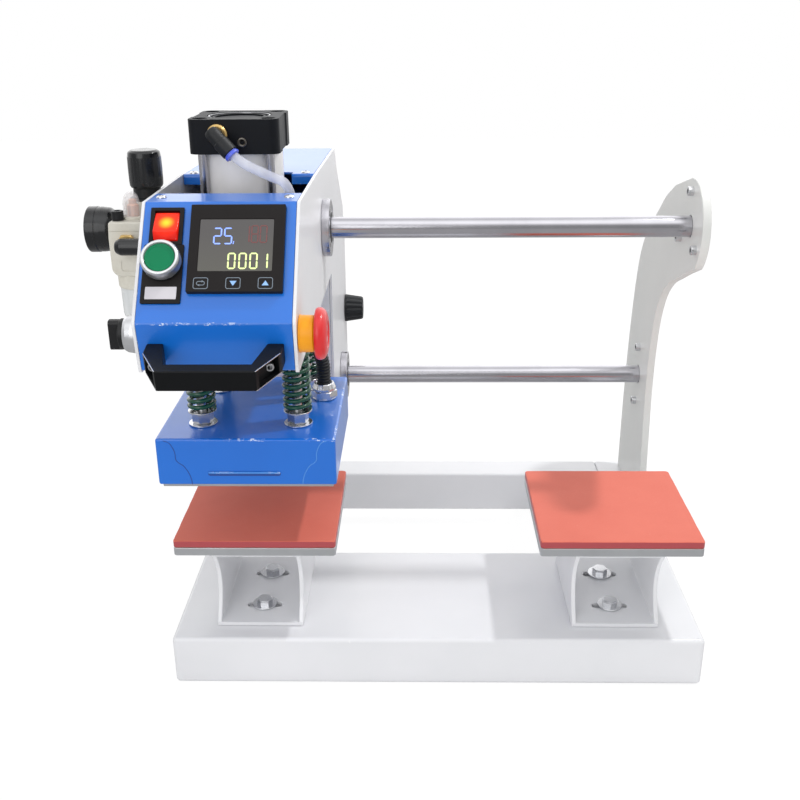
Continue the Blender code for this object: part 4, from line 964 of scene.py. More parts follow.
def makeArms():
    points = []
    for word, side in sides:
        inner = side * arm["inner"]
        low, high = sorted((inner, side * (arm["inner"] + arm["thickness"])))
        bores = together(
            *[moved(rod(arm["bore"], low - 0.003, high + 0.003, 64, "X"), 0, *at) for _, at in rails]
        )
        made(
            f"{word}_arm_plate", prism(armOutline(), low, high), "arm", f"{word}_arm", body="frame",
            edge=arm["edge"], steps=3, cuts=(bores,),
        )
        for at, angles in ((upperRail, (90, 210, 330)), (lowerRail, (90, 270))):
            for degrees in angles:
                points.append(
                    ((inner, *onCircle(arm["circle"], math.radians(degrees), *at)), facing[-side]),
                )
    copies("arm_screws", socketHead(0.009, 0.005, 0.004), points, "zinc", body="frame")
    print("arms made")


def makeRails():
    # Bars with a turned centre and a broken edge at each end
    reach = arm["inner"] + arm["thickness"]
    radius = 0.010
    profile = [
        (0, 0.0045 - reach), (0.0022, 0.0035 - reach), (0.0030, -reach), (radius - 0.001, -reach),
        (radius - 0.0003, 0.0003 - reach), (radius, 0.001 - reach),
    ]
    profile += [(r, -x) for r, x in reversed(profile)]
    for word, at in rails:
        made(
            f"{word}_rail_bar", turned(profile, 96, "X"), "chrome", f"{word}_rail", body="frame",
            at=(0, *at),
        )
    print("rails made")


# Stations: bracket, platen, pad and bolts

station = {
    "side": 0.150, "platenLow": 0.1307, "platenHigh": 0.1387, "padLow": 0.139, "padHigh": 0.146,
    "corner": 0.0032, "width": 0.082, "depth": 0.120, "wall": 0.004, "waist": 0.016, "waistSteps": 28,
    "low": 0.0503, "high": 0.1304, "slot": (0.034, 0.009, 0.0045, 10), "padFoot": 0.0006, "padTop": 0.0011,
}


def bracketOutline():
    low, high, wall = station["low"], station["high"], station["wall"]
    half = station["depth"] / 2
    steps = station["waistSteps"]
    front = [(-half, low)]
    for k in range(steps + 1):
        z = low + wall + (high - low - 2 * wall) * (k / steps)
        front.append((-half + station["waist"] * math.sin(math.pi * (k / steps)), z))
    front.append((-half, high))
    return front + [(-y, z) for y, z in reversed(front)]


def foamPad(x):
    # The pad's rim isn't quite straight
    side = station["side"]
    outline = [Vector(p) for p in roundedRectangle(side, side, station["corner"], 5)]
    fine = []
    for here, after in zip(outline, outline[1:] + outline[:1]):
        count = max(1, round((after - here).length / 0.004))
        fine += [tuple(here.lerp(after, k / count)) for k in range(count)]
    low, high = station["padLow"], station["padHigh"]
    foot, soft = station["padFoot"], station["padTop"]
    rings = (
        (foot, low), (0.0, low + foot), (0.0, high - soft), (soft * 0.12, high - soft * 0.5),
        (soft * 0.5, high - soft * 0.12), (soft, high), (0.006, high),
    )
    rows = []
    for inset, z in rings:
        row = []
        for k, (a, b) in enumerate(fine):
            wave = 0.00016 * math.sin(k * 0.37 + x * 40) + 0.00010 * math.sin(k * 0.83 + 1.3)
            pull = 1 - inset / (side / 2) - abs(wave) / (side / 2)
            lift = wave * 0.5 if z < low + 0.001 else 0.0
            row.append((a * pull + x, b * pull, max(z + lift, low)))
        rows.append(row)
    shape = lofted(rows)
    for face in shape.faces:
        # The cut sides take the face mark, which gives them a darker colour than the top
        if abs(face.normal.z) < 0.3:
            face.material_index = 1
    return shape


def makeStations():
    s = station
    half = s["width"] / 2
    wall = s["wall"]
    seat = s["low"] + wall + base["clear"]
    washers, heads = [], []
    for word, side in sides:
        x = side * stationX
        bolts = [middleY + row * base["boltPitch"] / 2 for row in (-1, 1)]
        cavity = block(
            (x - half + wall, -s["depth"], s["low"] + wall),
            (x + half - wall, s["depth"], s["high"] - wall),
        )
        low, high = s["low"] - 0.003, s["low"] + wall + 0.003
        slotted = [prism(roundedRectangle(*s["slot"], x, y), low, high, "Z") for y in bolts]
        bracket = moved(prism(bracketOutline(), x - half, x + half), 0, middleY)
        made(
            f"{word}_bracket_box", bracket, "white", f"{word}_bracket", body="frame", edge=0.0008, steps=3,
            cuts=(cavity, together(*slotted)),
        )
        plate = prism(
            roundedRectangle(s["side"], s["side"], s["corner"], 6, x), s["platenLow"], s["platenHigh"],
            "Z",
        )
        made(
            f"{word}_platen_plate", plate, "aluminium", f"{word}_platen", body="frame", edge=0.0007,
            steps=3,
        )
        pad = made(f"{word}_foam_pad", foamPad(x), "foam", f"{word}_pad", body="frame", angle=50)
        for y, turn in zip(bolts, (0.3 + side * 0.2, 0.75 + side * 0.1)):
            washers.append(((x, y, seat),))
            heads.append(((x, y, seat + 0.002), (0, 0, turn)))
    bolt = together(hexShape(0.013, 0.0053), rod(0.004, -0.0163, 0.0001, 24, edge=0.0006))
    names = [f"{word}_{row}_bolt" for word, _ in sides for row in ("front", "back")]
    copies("bracket_bolts", bolt, heads, "zinc", *names, body="frame", slot="chrome")
    copies("bracket_washers", washer(0.024, 0.0084, 0.002), washers, "zinc", body="frame", slot="chrome")
    print("stations made")


# Studio

studio = {
    "eye": (-0.01715, -0.8765, 0.6037), "pitch": 21.65, "yaw": 1.18, "roll": -0.45, "lens": 44.95,
    "ambient": 0.75, "floorGlow": 0.80, "paper": 1.11, "paperMirrored": 0.42, "backdrop": 1.75,
    "overhead": 0.8, "behind": 0.62, "floorColor": (0.86, 0.86, 0.86, 1), "floorHalf": 4,
    "floorTop": -0.0004,
}


def aimed(name, data, eye, ahead, roll=0.0):
    # A camera or a lamp at a place, looking ahead
    turn = ahead.to_track_quat("-Z", "Y").to_matrix() @ Matrix.Rotation(math.radians(roll), 3, "Z")
    obj = linked(name, data)
    obj.matrix_world = Matrix.Translation(eye) @ turn.to_4x4()
    return obj


def makeCamera():
    data = bpy.data.cameras.new("camera")
    data.lens = studio["lens"]
    data.sensor_width = 36.0
    data.clip_start = 0.01
    pitch, yaw = math.radians(studio["pitch"]), math.radians(studio["yaw"])
    ahead = Vector((-math.sin(yaw) * math.cos(pitch), math.cos(yaw) * math.cos(pitch), -math.sin(pitch)))
    bpy.context.scene.camera = aimed("camera", data, studio["eye"], ahead, studio["roll"])


def lamp(name, place, aim, size, power):
    data = bpy.data.lights.new(name, "AREA")
    data.shape = "DISK"
    data.size = size
    data.energy = power
    aimed(name, data, place, (Vector(aim) - Vector(place)).normalized())


def seenDirectly(bench):
    # Mirror rays, and all that see a thing as it is: those of the camera, mirrors and clear plastic
    path = bench.tree.nodes.new("ShaderNodeLightPath")
    camera, mirror, through = (
        Wire(bench, path.outputs[f"Is {word} Ray"]) for word in ("Camera", "Glossy", "Transmission")
    )
    return mirror, camera.math("MAXIMUM", mirror).math("MAXIMUM", through)


def emptied(holder):
    holder.use_nodes = True
    holder.node_tree.nodes.clear()
    return Bench(holder.node_tree)


def makeSky():
    # A white room that gives less light than it shows, and is brighter where metal and paint mirror it
    world = bpy.data.worlds.new("studio")
    bpy.context.scene.world = world
    sky = emptied(world)
    mirror, seen = seenDirectly(sky)
    split = sky.tree.nodes.new("ShaderNodeSeparateXYZ")
    sky.feed(split.inputs[0], sky.add("ShaderNodeTexCoord", output="Generated"))
    ahead, up = Wire(sky, split.outputs["Y"]), Wire(sky, split.outputs["Z"])
    behindCamera = ahead.ramp(0.15, -0.35)
    wall = behindCamera * up.ramp(0.62, 0.40) * mirror
    strength = studio["ambient"] + seen * (1 - studio["ambient"])
    strength = strength + ahead.ramp(0.35, 0.80) * mirror * (studio["backdrop"] - 1)
    strength = strength + up.ramp(0.62, 0.80) * behindCamera * mirror * studio["overhead"]
    white = sky.add(
        "ShaderNodeBackground", {}, {0: (1, 1, 1, 1), 1: strength * (1 - wall * studio["behind"])},
    )
    sky.add("ShaderNodeOutputWorld", {}, {0: white})


def makeFloor():
    # Matt paper that glows white where it is seen
    reach = studio["floorHalf"]
    corners = ((-reach, -reach), (reach, -reach), (reach, reach), (-reach, reach))
    paper = bpy.data.materials.new("paper_floor")
    bench = emptied(paper)
    mirror, seen = seenDirectly(bench)
    matt = bench.add("ShaderNodeBsdfDiffuse", {}, {0: studio["floorColor"]})
    strength = studio["paper"] - mirror * (studio["paper"] - studio["paperMirrored"])
    glow = bench.add("ShaderNodeEmission", {}, {0: (1, 1, 1, 1), 1: strength})
    mixed = bench.add("ShaderNodeMixShader", {}, {0: seen * studio["floorGlow"], 1: matt, 2: glow})
    bench.add("ShaderNodeOutputMaterial", {}, {0: mixed})
    rawObject("floor", prism(corners, -0.02, studio["floorTop"], "Z"), paper)


def makeStudio():
    lamp("key", (0.647, 0.174, 1.42), (0.0, 0.0, 0.15), 0.075, 6.9)
    lamp("front", (-0.75, -1.75, 1.02), (0.0, 0.0, 0.25), 1.5, 9.8)
    makeSky()
    makeFloor()
    bpy.context.scene.view_settings.view_transform = "Standard"
    print("studio made")


# Carriage: side plates, folded covers and bearings

head = {
    "x": -0.169, "half": 0.061, "plate": 0.0025, "sheet": 0.002, "top": 0.4635, "inside": 0.0582,
    "bend": 0.0028, "edge": 0.0005, "sheetEdge": 0.00035, "screw": 0.008, "screwHeight": 0.0022,
    "railHole": 0.0163, "panelHole": 0.0113, "knobHole": 0.0043, "notch": 0.0385, "pressY": -0.005,
    "panel": (-0.1425, 0.42425), "panelRun": (0.0785, 0.063),
    "lowPanel": (-0.171, 0.3645), "lowRun": (0.041, -0.006),
    "side": (
        (-0.168, 0.344, 0.004), (-0.174, 0.385, 0.010), (-0.111, 0.4635, 0.005), (0.021, 0.4635, 0.0),
        (0.219, 0.460, 0.006), (0.238, 0.437, 0.006), (0.310, 0.381, 0.008), (0.327, 0.338, 0.008),
        (0.327, 0.166, 0.005), (0.121, 0.166, 0.005), (0.136, 0.344, 0.004),
    ),
    "front": ((-0.075, 0.4635), (-0.111, 0.4635), (-0.174, 0.385), (-0.168, 0.346), (-0.064, 0.346)),
    "rear": (
        (0.021, 0.4545), (0.021, 0.4635), (0.219, 0.460), (0.238, 0.437), (0.310, 0.381), (0.327, 0.338),
        (0.327, 0.1683),
    ),
    "wall": ((0.054, 0.344), (0.136, 0.344), (0.121, 0.166), (0.327, 0.166)),
}
headX = head["x"]
pressAt = (headX, head["pressY"])
panelTurn = Matrix.Rotation(math.atan2(*head["panelRun"]), 4, "X")
panelPlace = Matrix.Translation((headX, *head["panel"])) @ panelTurn
lowTurn = Matrix.Rotation(math.atan2(*head["lowRun"]), 4, "X")
lowPlace = Matrix.Translation((headX, *head["lowPanel"])) @ lowTurn


def onPanel(x, y, z=0.0):
    return Matrix.Translation(panelPlace @ Vector((x, y, z))) @ panelTurn


def makeSidePlates():
    for word, side in sides:
        low, high = sorted((headX + side * (head["half"] - head["plate"]), headX + side * head["half"]))
        holes = [(head["railHole"], 48, *at) for _, at in rails]
        holes.append((head["panelHole"], 40, *sideSwitch[word][1:]))
        if side > 0:
            holes.append((head["knobHole"], 24, *sideKnob["at"][1:]))
        drills = [
            moved(rod(radius, low - 0.003, high + 0.003, steps, "X"), 0, *at)
            for radius, steps, *at in holes
        ]
        made(
            f"{word}_plate", prism(arcCorners(head["side"], 8), low, high), "white", f"{word}_side_plate",
            edge=head["edge"], steps=3, cuts=(together(*drills),),
        )


def foldedCover(name, node, path, thickness, paint, cuts, folds=()):
    # A folded sheet across the head; along each of its folds, at (y, z), the face mark paints pale
    # highlight flecks
    half = head["inside"]
    outline = bentSheet(path, thickness, head["bend"])
    shell = made(
        name, prism(outline, headX - half, headX + half), paint, node, edge=head["sheetEdge"], cuts=cuts
    )
    setFaceMark(shell, 1.0, lambda at: any((at.yz - Vector(fold)).length < 0.0011 for fold in folds))


def makeCovers():
    half, sheet = head["inside"], head["sheet"]
    body, deep = 0.0333, sheet + 0.003
    openings = placed(together(
        moved(block((-body, -body, -deep), (body, body, 0.003)), display["x"], display["y"]),
        moved(block((-0.0108, -0.0141, -deep), (0.0108, 0.0141, 0.003)), rocker["x"], rocker["y"]),
        moved(rod(head["panelHole"], -deep, 0.003, 40), startButton["x"], startButton["y"]),
    ), panelPlace)
    foldedCover(
        "front_shell", "front_cover", head["front"], sheet, "blue", (openings,), head["front"][2:3],
    )
    reach = head["notch"]
    notch = block((headX - reach, 0.018, 0.4515), (headX + reach, head["pressY"] + reach, 0.4665))
    foldedCover("rear_shell", "rear_cover", head["rear"], -sheet, "blue", (notch,), head["rear"][2:6])
    foldedCover("inner_wall", "bulkhead", head["wall"], sheet, "white", ())
    places = []
    for side in (-1, 1):
        x = headX + side * (half - 0.008)
        places.append(((x, -0.093, head["top"] - 0.0002), (0, 0, 0.5 + side)))
        places.append(((x, 0.029, head["top"] - 0.0004), (0, 0, 0.9 + side)))
    places.append(((headX, 0.274, 0.409 - 0.0002), (-0.661, 0, 0)))
    places.append(((headX, 0.3185, 0.3595 - 0.0002), (-1.195, 0, 0)))
    for side in (-1, 1):
        places.append(((headX + side * (half - 0.012), 0.327, 0.185), (-quarter, 0, 0)))
    copies("cover_screws", panHead(head["screw"], head["screwHeight"]), places, "zinc")
    print("carriage shells made")


bearing = {
    "bore": 0.0101, "sleeve": 0.016, "flange": 0.027, "seat": 0.0613, "face": 0.0685, "reach": 0.0245,
    "seal": 0.0142, "circle": 0.0212, "pit": 0.0040,
}


def makeBearings():
    b = bearing
    bore, face, seal = b["bore"], b["face"], b["seal"]
    profile = (
        (bore, face, 0.0004), (b["flange"], face, 0.0008), (b["flange"], b["seat"], 0.0003),
        (b["sleeve"], b["seat"], 0), (b["sleeve"], b["reach"], 0.0005), (bore, b["reach"], 0.0003),
    )
    low, high, inner = face - 0.002, face + 0.0002, bore + 0.0001
    heads, seals = [], []
    for row, at in rails:
        for word, side in sides:
            place = (headX, *at)
            pits = []
            for k in range(4):
                y, z = onCircle(b["circle"], math.pi / 4 + k * math.pi / 2)
                pits.append(moved(rod(b["pit"], face - 0.0042, face + 0.002, 28, "X"), 0, y, z))
                heads.append(((headX + side * (face - 0.0040), at[0] + y, at[1] + z), facing[side]))
            shape = carve(lathe(profile, 0.0004, 3, 72, "X", True), together(*pits))
            lip = turned(((inner, low), (seal, low), (seal, high), (inner, high)), 56, "X", True)
            if side < 0:
                shape, lip = mirrored(shape), mirrored(lip)
            made(f"{row}_{word}_flange", shape, "chrome", f"{row}_{word}_bearing", slot="steel", at=place)
            seals.append(moved(lip, *place))
    copies("flange_screws", socketHead(0.0070, 0.0036, 0.003), heads, "zinc")
    made("flange_seals", together(*seals), "rubber")
    print("bearings made")


# Air cylinder

cylinder = {
    "side": 0.075, "corner": 0.008, "capLow": 0.4894, "capHigh": 0.5174, "barrelLow": 0.4081,
    "barrelHigh": 0.4891, "barrel": 0.035, "bore": 0.0315, "rod": 0.0035, "offset": 0.02825,
    "recess": 0.027, "recessDepth": 0.0025, "edge": 0.0007, "port": (0.0072, 0.4990), "footHole": 0.0103,
}


def fourCorners(offset):
    return [(a, b) for a in (-offset, offset) for b in (-offset, offset)]


def capRing(name, inner, outer, height, paint):
    # A ring in the recess of the top cap
    low, high = cylinder["capHigh"] - 0.0026, cylinder["capHigh"] - height
    profile = ((inner, low), (inner, high), (outer, high), (outer, low))
    made(name, lathe(profile, 0.0003, 3, 72, ring=True), paint, at=(*pressAt, 0))


def makeCylinder():
    c = cylinder
    x, y = pressAt
    low, top = c["capLow"], c["capHigh"]
    square = roundedRectangle(c["side"], c["side"], c["corner"], 8, x, y)
    floor, roof = top - c["recessDepth"], top + 0.003
    recess = moved(turned(((0, floor), (c["recess"], floor), (c["recess"], roof), (0, roof)), 72), x, y)
    corners = [(x + a, y + b) for a, b in fourCorners(c["offset"])]
    pits = together(*[moved(rod(0.006, top - 0.006, top + 0.003, 40), *at) for at in corners])
    portX, portZ = x + c["port"][0], c["port"][1]
    port = moved(
        rod(0.0040, y - c["side"] / 2 - 0.002, y - c["side"] / 2 + 0.0012, 32, "Y"), portX, 0, portZ,
    )
    waist = []
    for k in (1, 2, 3):
        # A shallow scallop down the middle of the sides and back of the cap
        scallop = roundedRectangle(0.034, 0.006, 0.0028, 6, 0, -c["side"] / 2 - 0.0018)
        turn = Matrix.Translation((x, y, 0)) @ Matrix.Rotation(k * math.pi / 2, 4, "Z")
        waist.append(placed(prism(scallop, low - 0.002, top + 0.002, "Z"), turn))
    made(
        "cylinder_head_cap", prism(square, low, top, "Z"), "anodised", "cylinder_top_cap", edge=c["edge"],
        steps=3, cuts=(recess, pits, port, together(*waist)),
    )
    capRing("cap_ring", 0.0205, 0.0222, 0.0012, "anodised")
    capRing("cap_bright_ring", 0.0250, 0.0262, 0.0004, "steel")
    nuts = [((*at, top - 0.0062), (0, 0, 0.2)) for at in corners]
    copies("tie_rod_nuts", socketHead(0.0098, 0.0045, 0.005), nuts, "anodised")
    shaft = rod(c["rod"], c["barrelLow"] - 0.0002, low + 0.0002, 40)
    copies("tie_rods", shaft, [((*at, 0),) for at in corners], "chrome", slot="steel")
    tube = [(c[side], c[end]) for side, end in (
        ("bore", "barrelLow"), ("barrel", "barrelLow"), ("barrel", "barrelHigh"), ("bore", "barrelHigh"),
    )]
    made(
        "cylinder_tube", lathe(tube, 0.0004, 3, 120, ring=True), "barrel", "cylinder_barrel", at=(x, y, 0),
    )
    lo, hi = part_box("cylinder_lower_cap")
    hole = moved(rod(c["footHole"], 0.37, 0.42, 48), x, y)
    made(
        "cylinder_foot_cap", prism(square, lo.z, hi.z, "Z"), "anodised", "cylinder_lower_cap",
        edge=c["edge"], steps=3, cuts=(hole,),
    )
    carried("mount_plate", "cylinder_mount_plate", "steel", 0.0005)
    plug = ((0.0015, 0.0), (0.0034, 0.0), (0.0040, 0.0012), (0.0028, 0.0016), (0.0018, 0.0006))
    plug = placed(lathe(plug, 0.0003, 2, 40, "Y", True), Matrix.Rotation(math.pi, 4, "X"))
    made("port_plug_ring", plug, "gunmetal", at=(portX, y - c["side"] / 2 + 0.0008, portZ))
    print("cylinder made")


# Fitting and air tube

fitting = {"x": -0.0124, "z": 0.5055, "collar": 0.0084, "leg": (0.68, -0.20, -0.70), "tube": 0.008}


def makeAirLine():
    at = Vector((headX + fitting["x"], head["pressY"] - cylinder["side"] / 2 - 0.0003, fitting["z"]))
    wide = fitting["collar"]
    disc = ((0, 0), (wide, 0), (wide, 0.0030), (wide - 0.0014, 0.0046), (0, 0.0046))
    rim = ((0.0050, 0.0044), (0.0074, 0.0044), (0.0074, 0.0060), (0.0050, 0.0060))
    disc, rim = lathe(disc, 0.0004, 3, 72), lathe(rim, 0.0004, 3, 48, ring=True)
    made("fitting_collar", together(placed(disc, layDown), placed(rim, layDown)), "brass", at=at)
    direction = Vector(fitting["leg"]).normalized()
    corner = at + Vector((0, -0.012, 0))
    neck = moved(rod(0.0058, -0.0128, -0.0058, 48, "Y", 0.0005), *at)
    lean = Vector((0, 0, 1)).rotation_difference(direction).to_matrix().to_4x4()
    turn = Matrix.Translation(corner) @ lean
    leg = lathe((
        (0, -0.0066), (0.0052, -0.0066, 0.0030), (0.0062, -0.002, 0.001), (0.0062, 0.0060, 0.0006),
        (0.0069, 0.0066, 0.0004), (0.0069, 0.0182, 0.0008), (0, 0.0182),
    ), 0.0006, 5, 56)
    made("elbow_body", placed(leg, turn), "rubber", "elbow_fitting", joins=(neck,), angle=40)
    sleeve = (
        (0.0041, 0.0180), (0.0056, 0.0180), (0.0056, 0.0192), (0.0065, 0.0194), (0.0065, 0.0214),
        (0.0041, 0.0214),
    )
    made("release_ring", lathe(sleeve, 0.0003, 3, 48, ring=True), "release", at=turn)
    size = fitting["tube"]
    start, first = corner + direction * 0.0155, corner + direction * 0.0203
    valve = Vector((headX + 0.043, -0.080, 0.3823 + 0.0003))
    edge = Vector((headX + 0.0448, -0.069, head["top"] + size * 0.7))
    beside = headX + 0.0502
    route = smoothRoute((
        start, first, first.lerp(edge, 0.3) + Vector((0, -0.0025, -0.0010)),
        first.lerp(edge, 0.7) + Vector((0, -0.001, 0)), edge,
        (beside, -0.069, head["top"] - size * 1.7), (beside, -0.069, head["top"] - size * 5.4),
        valve + Vector((0, 0, 2 * size)), valve + Vector((0, 0, size)), valve,
    ), 14)
    hose(
        "clear_air_tube", route, "tube", "air_tube", Radius=size / 2, Groove=0.0, Pitch=0.003, Step=0.002,
        Sides=28,
    )
    carried("valve_body", "solenoid_valve", "plastic", 0.0006)
    print("air line made")


# Press head

press = {
    "side": 0.158, "low": 0.208, "high": 0.2523, "wall": 0.0015, "offset": 0.043, "round": 0.0022,
    "plateLow": 0.205, "plateHigh": 0.227, "seat": 0.2661, "springTop": 0.3495, "turns": 12.5,
    "wire": 0.0040, "coil": 0.026, "closed": 0.0044, "strip": 0.064, "stripX": -0.0022, "studHole": 0.0053,
    "seam": (
        (-0.0719, 0.2508), (-0.0667, 0.2487), (-0.0636, 0.2436), (-0.0621, 0.2382), (-0.0620, 0.2330),
        (-0.0597, 0.2296), (-0.0554, 0.2264), (-0.0513, 0.2193), (-0.0495, 0.2130), (-0.0491, 0.2085),
    ),
}


def guideStrip(points, y, width):
    # A thin raised bead along points (x, z) on a front face
    rows = []
    last = len(points) - 1
    for i, (a, z) in enumerate(points):
        along = (Vector(points[min(i + 1, last)]) - Vector(points[max(i - 1, 0)])).normalized()
        side = Vector((-along.y, along.x)) * width
        thin = 0.15 if i in (0, last) else 1.0
        rows.append([
            (a + side.x * share * thin, y + lift, z + side.y * share * thin)
            for share, lift in ((-1, 0.0002), (-0.5, -0.00022), (0.5, -0.00022), (1, 0.0002))
        ])
    return lofted(rows)


def makeShroud(corners):
    p = press
    x, y = pressAt
    half = p["side"] / 2
    inner = half - p["wall"]
    front = y - half
    shell = block((x - half, front, p["low"]), (x + half, y + half, p["high"]))
    cavity = block((x - inner, y - inner, p["low"] - 0.01), (x + inner, y + inner, p["high"] - p["wall"]))
    holes = together(
        *[moved(rod(p["studHole"], p["high"] - 0.004, p["high"] + 0.004, 32), *at) for at in corners]
    )
    case = made(
        "heater_case", shell, "blue", "heater_shroud", body="press_head", edge=p["round"], steps=5,
        cuts=(cavity, holes), softFirst=True,
    )
    # Painted highlight flecks stay only on the case's top edges, where the light catches them
    setFaceMark(case, 0.0, lambda at: at.z < p["high"] - 0.003)
    # The pressed strip and the lapped corners' seams stand a hair proud of the front; the strip's body
    # carries painted shade and its crest a painted highlight
    strip = roundedRectangle(p["strip"], 0.0040, 0.0019, 8, x + p["stripX"], 0.2190)
    strip = prism(strip, front - 0.0006, front + 0.0004, "Y")
    made("case_strip", strip, "blueShaded", body="press_head", edge=0.0005, steps=3)
    crest = roundedRectangle(p["strip"] - 0.0006, 0.0017, 0.0008, 8, x + p["stripX"], 0.2203)
    crest = prism(crest, front - 0.00095, front - 0.0003, "Y")
    made("case_strip_crest", crest, "blueLit", body="press_head", edge=0.0004, steps=3)
    # The left seam is painted in shade and the right one as lit, for light from the right
    for (word, side), paint in zip(sides, ("blueShaded", "blueLit")):
        seam = guideStrip(smoothLine([(x - side * a, z) for a, z in p["seam"]], 4), front, 0.0005)
        made(f"{word}_case_seam", seam, paint, body="press_head", angle=60)
    plateHalf = inner - 0.0015
    plate = block(
        (x - plateHalf, y - plateHalf, p["plateLow"]), (x + plateHalf, y + plateHalf, p["plateHigh"]),
    )
    made("heating_block", plate, "aluminium", "heating_plate", body="press_head", edge=0.0009, steps=3)


def makeStuds(corners):
    p = press
    deck = p["high"] + 0.0003

    def onStuds(name, shape, points):
        copies(name, shape, points, "zinc", body="press_head", slot="aluminium")

    shaft = together(
        rod(0.0048, 0.226, 0.3620, 32), moved(socketHead(0.0148, 0.0058, 0.007), 0, 0, 0.3618),
    )
    onStuds("levelling_studs", shaft, [((*at, 0),) for at in corners])
    nuts = [((*at, deck + 0.0015), (0, 0, 0.35 + 0.5 * k)) for k, at in enumerate(corners)]
    onStuds("stud_nuts", hexShape(0.0168, 0.0105, True), nuts)
    levels = [((*at, deck + lift),) for lift in (0, 0.0120) for at in corners]
    onStuds("stud_washers", washer(0.0255, 0.0104, 0.0015), levels)
    bottom = p["seat"] + 0.0003 + p["wire"] / 2
    height = p["springTop"] - 0.0003 - p["wire"] / 2 - bottom
    springs = windTree.run(
        "levelling_springs", [((*at, bottom),) for at in corners], Turns=p["turns"], Wire=p["wire"],
        Radius=(p["coil"] - p["wire"]) / 2, Height=height, Closed=p["closed"], Steps=420,
        Material=paints["spring"],
    )
    settle(springs, "press_head", (
        "front_left_spring", "back_left_spring", "front_right_spring", "back_right_spring",
    ))


def makePressHead():
    corners = [(pressAt[0] + a, pressAt[1] + b) for a, b in fourCorners(press["offset"])]
    makeShroud(corners)
    makeStuds(corners)
    carried("pressure_slab", "pressure_plate", "steel", 0.0008, "press_head")
    lo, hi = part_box("piston_rod")
    crown = hi.z - 0.018
    piston = lathe((
        (0, lo.z), (0.010, lo.z, 0.0005), (0.010, crown, 0.0008), (0.0312, crown, 0.0006),
        (0.0312, hi.z, 0.0006), (0, hi.z),
    ), 0.0005, 3, 72)
    made("piston_and_rod", piston, "chrome", "piston_rod", body="press_head", at=(*pressAt, 0))
    makeConduit()
    print("press head made")


conduit = {
    "x": 0.061, "y": 0.015, "low": 0.2526, "high": 0.405, "leanX": 0.011, "leanY": 0.003, "foot": 0.016,
    "hole": 0.344, "straight": 0.0135, "steps": 60, "radius": 0.00675,
}


def makeConduit():
    c = conduit
    at = Vector((headX + c["x"], c["y"], c["low"]))

    def serrations(angle, z):
        return 0.00025 * math.cos(angle * 12) if z > 0.009 else 0

    collar = ((0.0069, 0.0), (0.0114, 0.0), (0.0114, 0.0016), (0.0069, 0.0016))
    nose = (
        (0.0069, 0.0086), (0.0105, 0.0086), (0.0112, 0.0092), (0.0112, 0.0112), (0.0100, 0.0140),
        (0.0092, 0.0158), (0.0069, 0.0158),
    )
    nut = together(
        moved(hexShape(0.0215, 0.0085, True), 0, 0, 0.0002),
        lathe(nose, 0.0010, 4, 60, "Z", True, serrations), lathe(collar, 0.0004, 3, 60, ring=True),
    )
    made(
        "gland_nut", nut, "zinc", "heater_gland", body="press_head", slot="chrome", at=at,
        angle=25,
    )
    low = c["low"] + 0.006
    leanLow, leanHigh = c["low"] + c["foot"] + c["straight"], c["hole"] - c["straight"]
    points = []
    for k in range(c["steps"] + 1):
        z = low + (c["high"] - low) * k / c["steps"]
        share = min(max((z - leanLow) / (leanHigh - leanLow), 0), 1)
        share = share * share * (3 - 2 * share)
        points.append((at.x - c["leanX"] * share, at.y - c["leanY"] * share, z))
    hose(
        "heater_hose", points, "rubber", "heater_conduit", body="press_head", Radius=c["radius"],
        Groove=0.16, Pitch=0.0030, Step=0.0005, Sides=30,
    )


# Controls on the sloped panel


def lettering(words, size, low, high):
    # Plain figures as thin solids: each of (text, x, y)
    shapes = []
    for text, x, y in words:
        curve = bpy.data.curves.new("figures", "FONT")
        curve.body = text
        curve.size = size
        curve.align_x = "CENTER"
        curve.align_y = "CENTER"
        curve.resolution_u = 3
        curve.extrude = (high - low) / 2
        obj = linked("figures", curve)
        shape = fromMesh(meshOf(obj))
        bmesh.ops.remove_doubles(shape, verts=shape.verts, dist=1e-7)
        shapes.append(moved(shape, x, y, (low + high) / 2))
        removed(obj)
    return together(*shapes)


display = {
    "x": 0.01475, "y": 0.0095, "side": 0.072, "corner": 0.0009, "lip": 0.0048, "body": 0.033, "deep": 0.045,
    "glass": (0.0556, 0.0424, -0.0004, 0.0022), "glassTop": 0.0044, "keys": (-0.0251, -0.0009, 0.0232),
    "keyY": -0.0292, "key": (0.0112, 0.0092, 0.0018), "line": 0.0005,
    "rows": (
        ("blue", "25", (-0.0146, -0.0067), 0.0096, 0.0054, 0.0127, 0.00110),
        ("red", "180", (0.0068, 0.0134, 0.0200), 0.0111, 0.0048, 0.0138, 0.00095),
        ("lime", "0001", (-0.0031, 0.0052, 0.0134, 0.0212), -0.0110, 0.0050, 0.0122, 0.00120),
    ),
    "tick": ((-0.0030, 0.0028), (-0.0024, 0.0028), (-0.0018, 0.0053), (-0.0024, 0.0053)),
}
barsOf = {"0": "abcdef", "1": "bc", "2": "abdeg", "5": "acdfg", "8": "abcdefg"}


def digitBars(digit, x, y, width, height, stroke):
    # The lit bars of one seven-bar digit, as pointed outlines
    left, right, low, high = x - width / 2, x + width / 2, y - height / 2, y + height / 2
    ends = {
        "a": (left, high, right, high), "g": (left, y, right, y), "d": (left, low, right, low),
        "f": (left, y, left, high), "b": (right, y, right, high),
        "e": (left, low, left, y), "c": (right, low, right, y),
    }
    bars = []
    for word in barsOf[digit]:
        start, end = Vector(ends[word][:2]), Vector(ends[word][2:])
        along = (end - start).normalized()
        side = Vector((-along.y, along.x)) * stroke / 2
        tip = along * stroke / 2
        a, b = start + tip * 0.3, end - tip * 0.3
        bars.append(
            [tuple(p) for p in (a, a + tip - side, b - tip - side, b, b - tip + side, a + tip + side)]
        )
    return bars


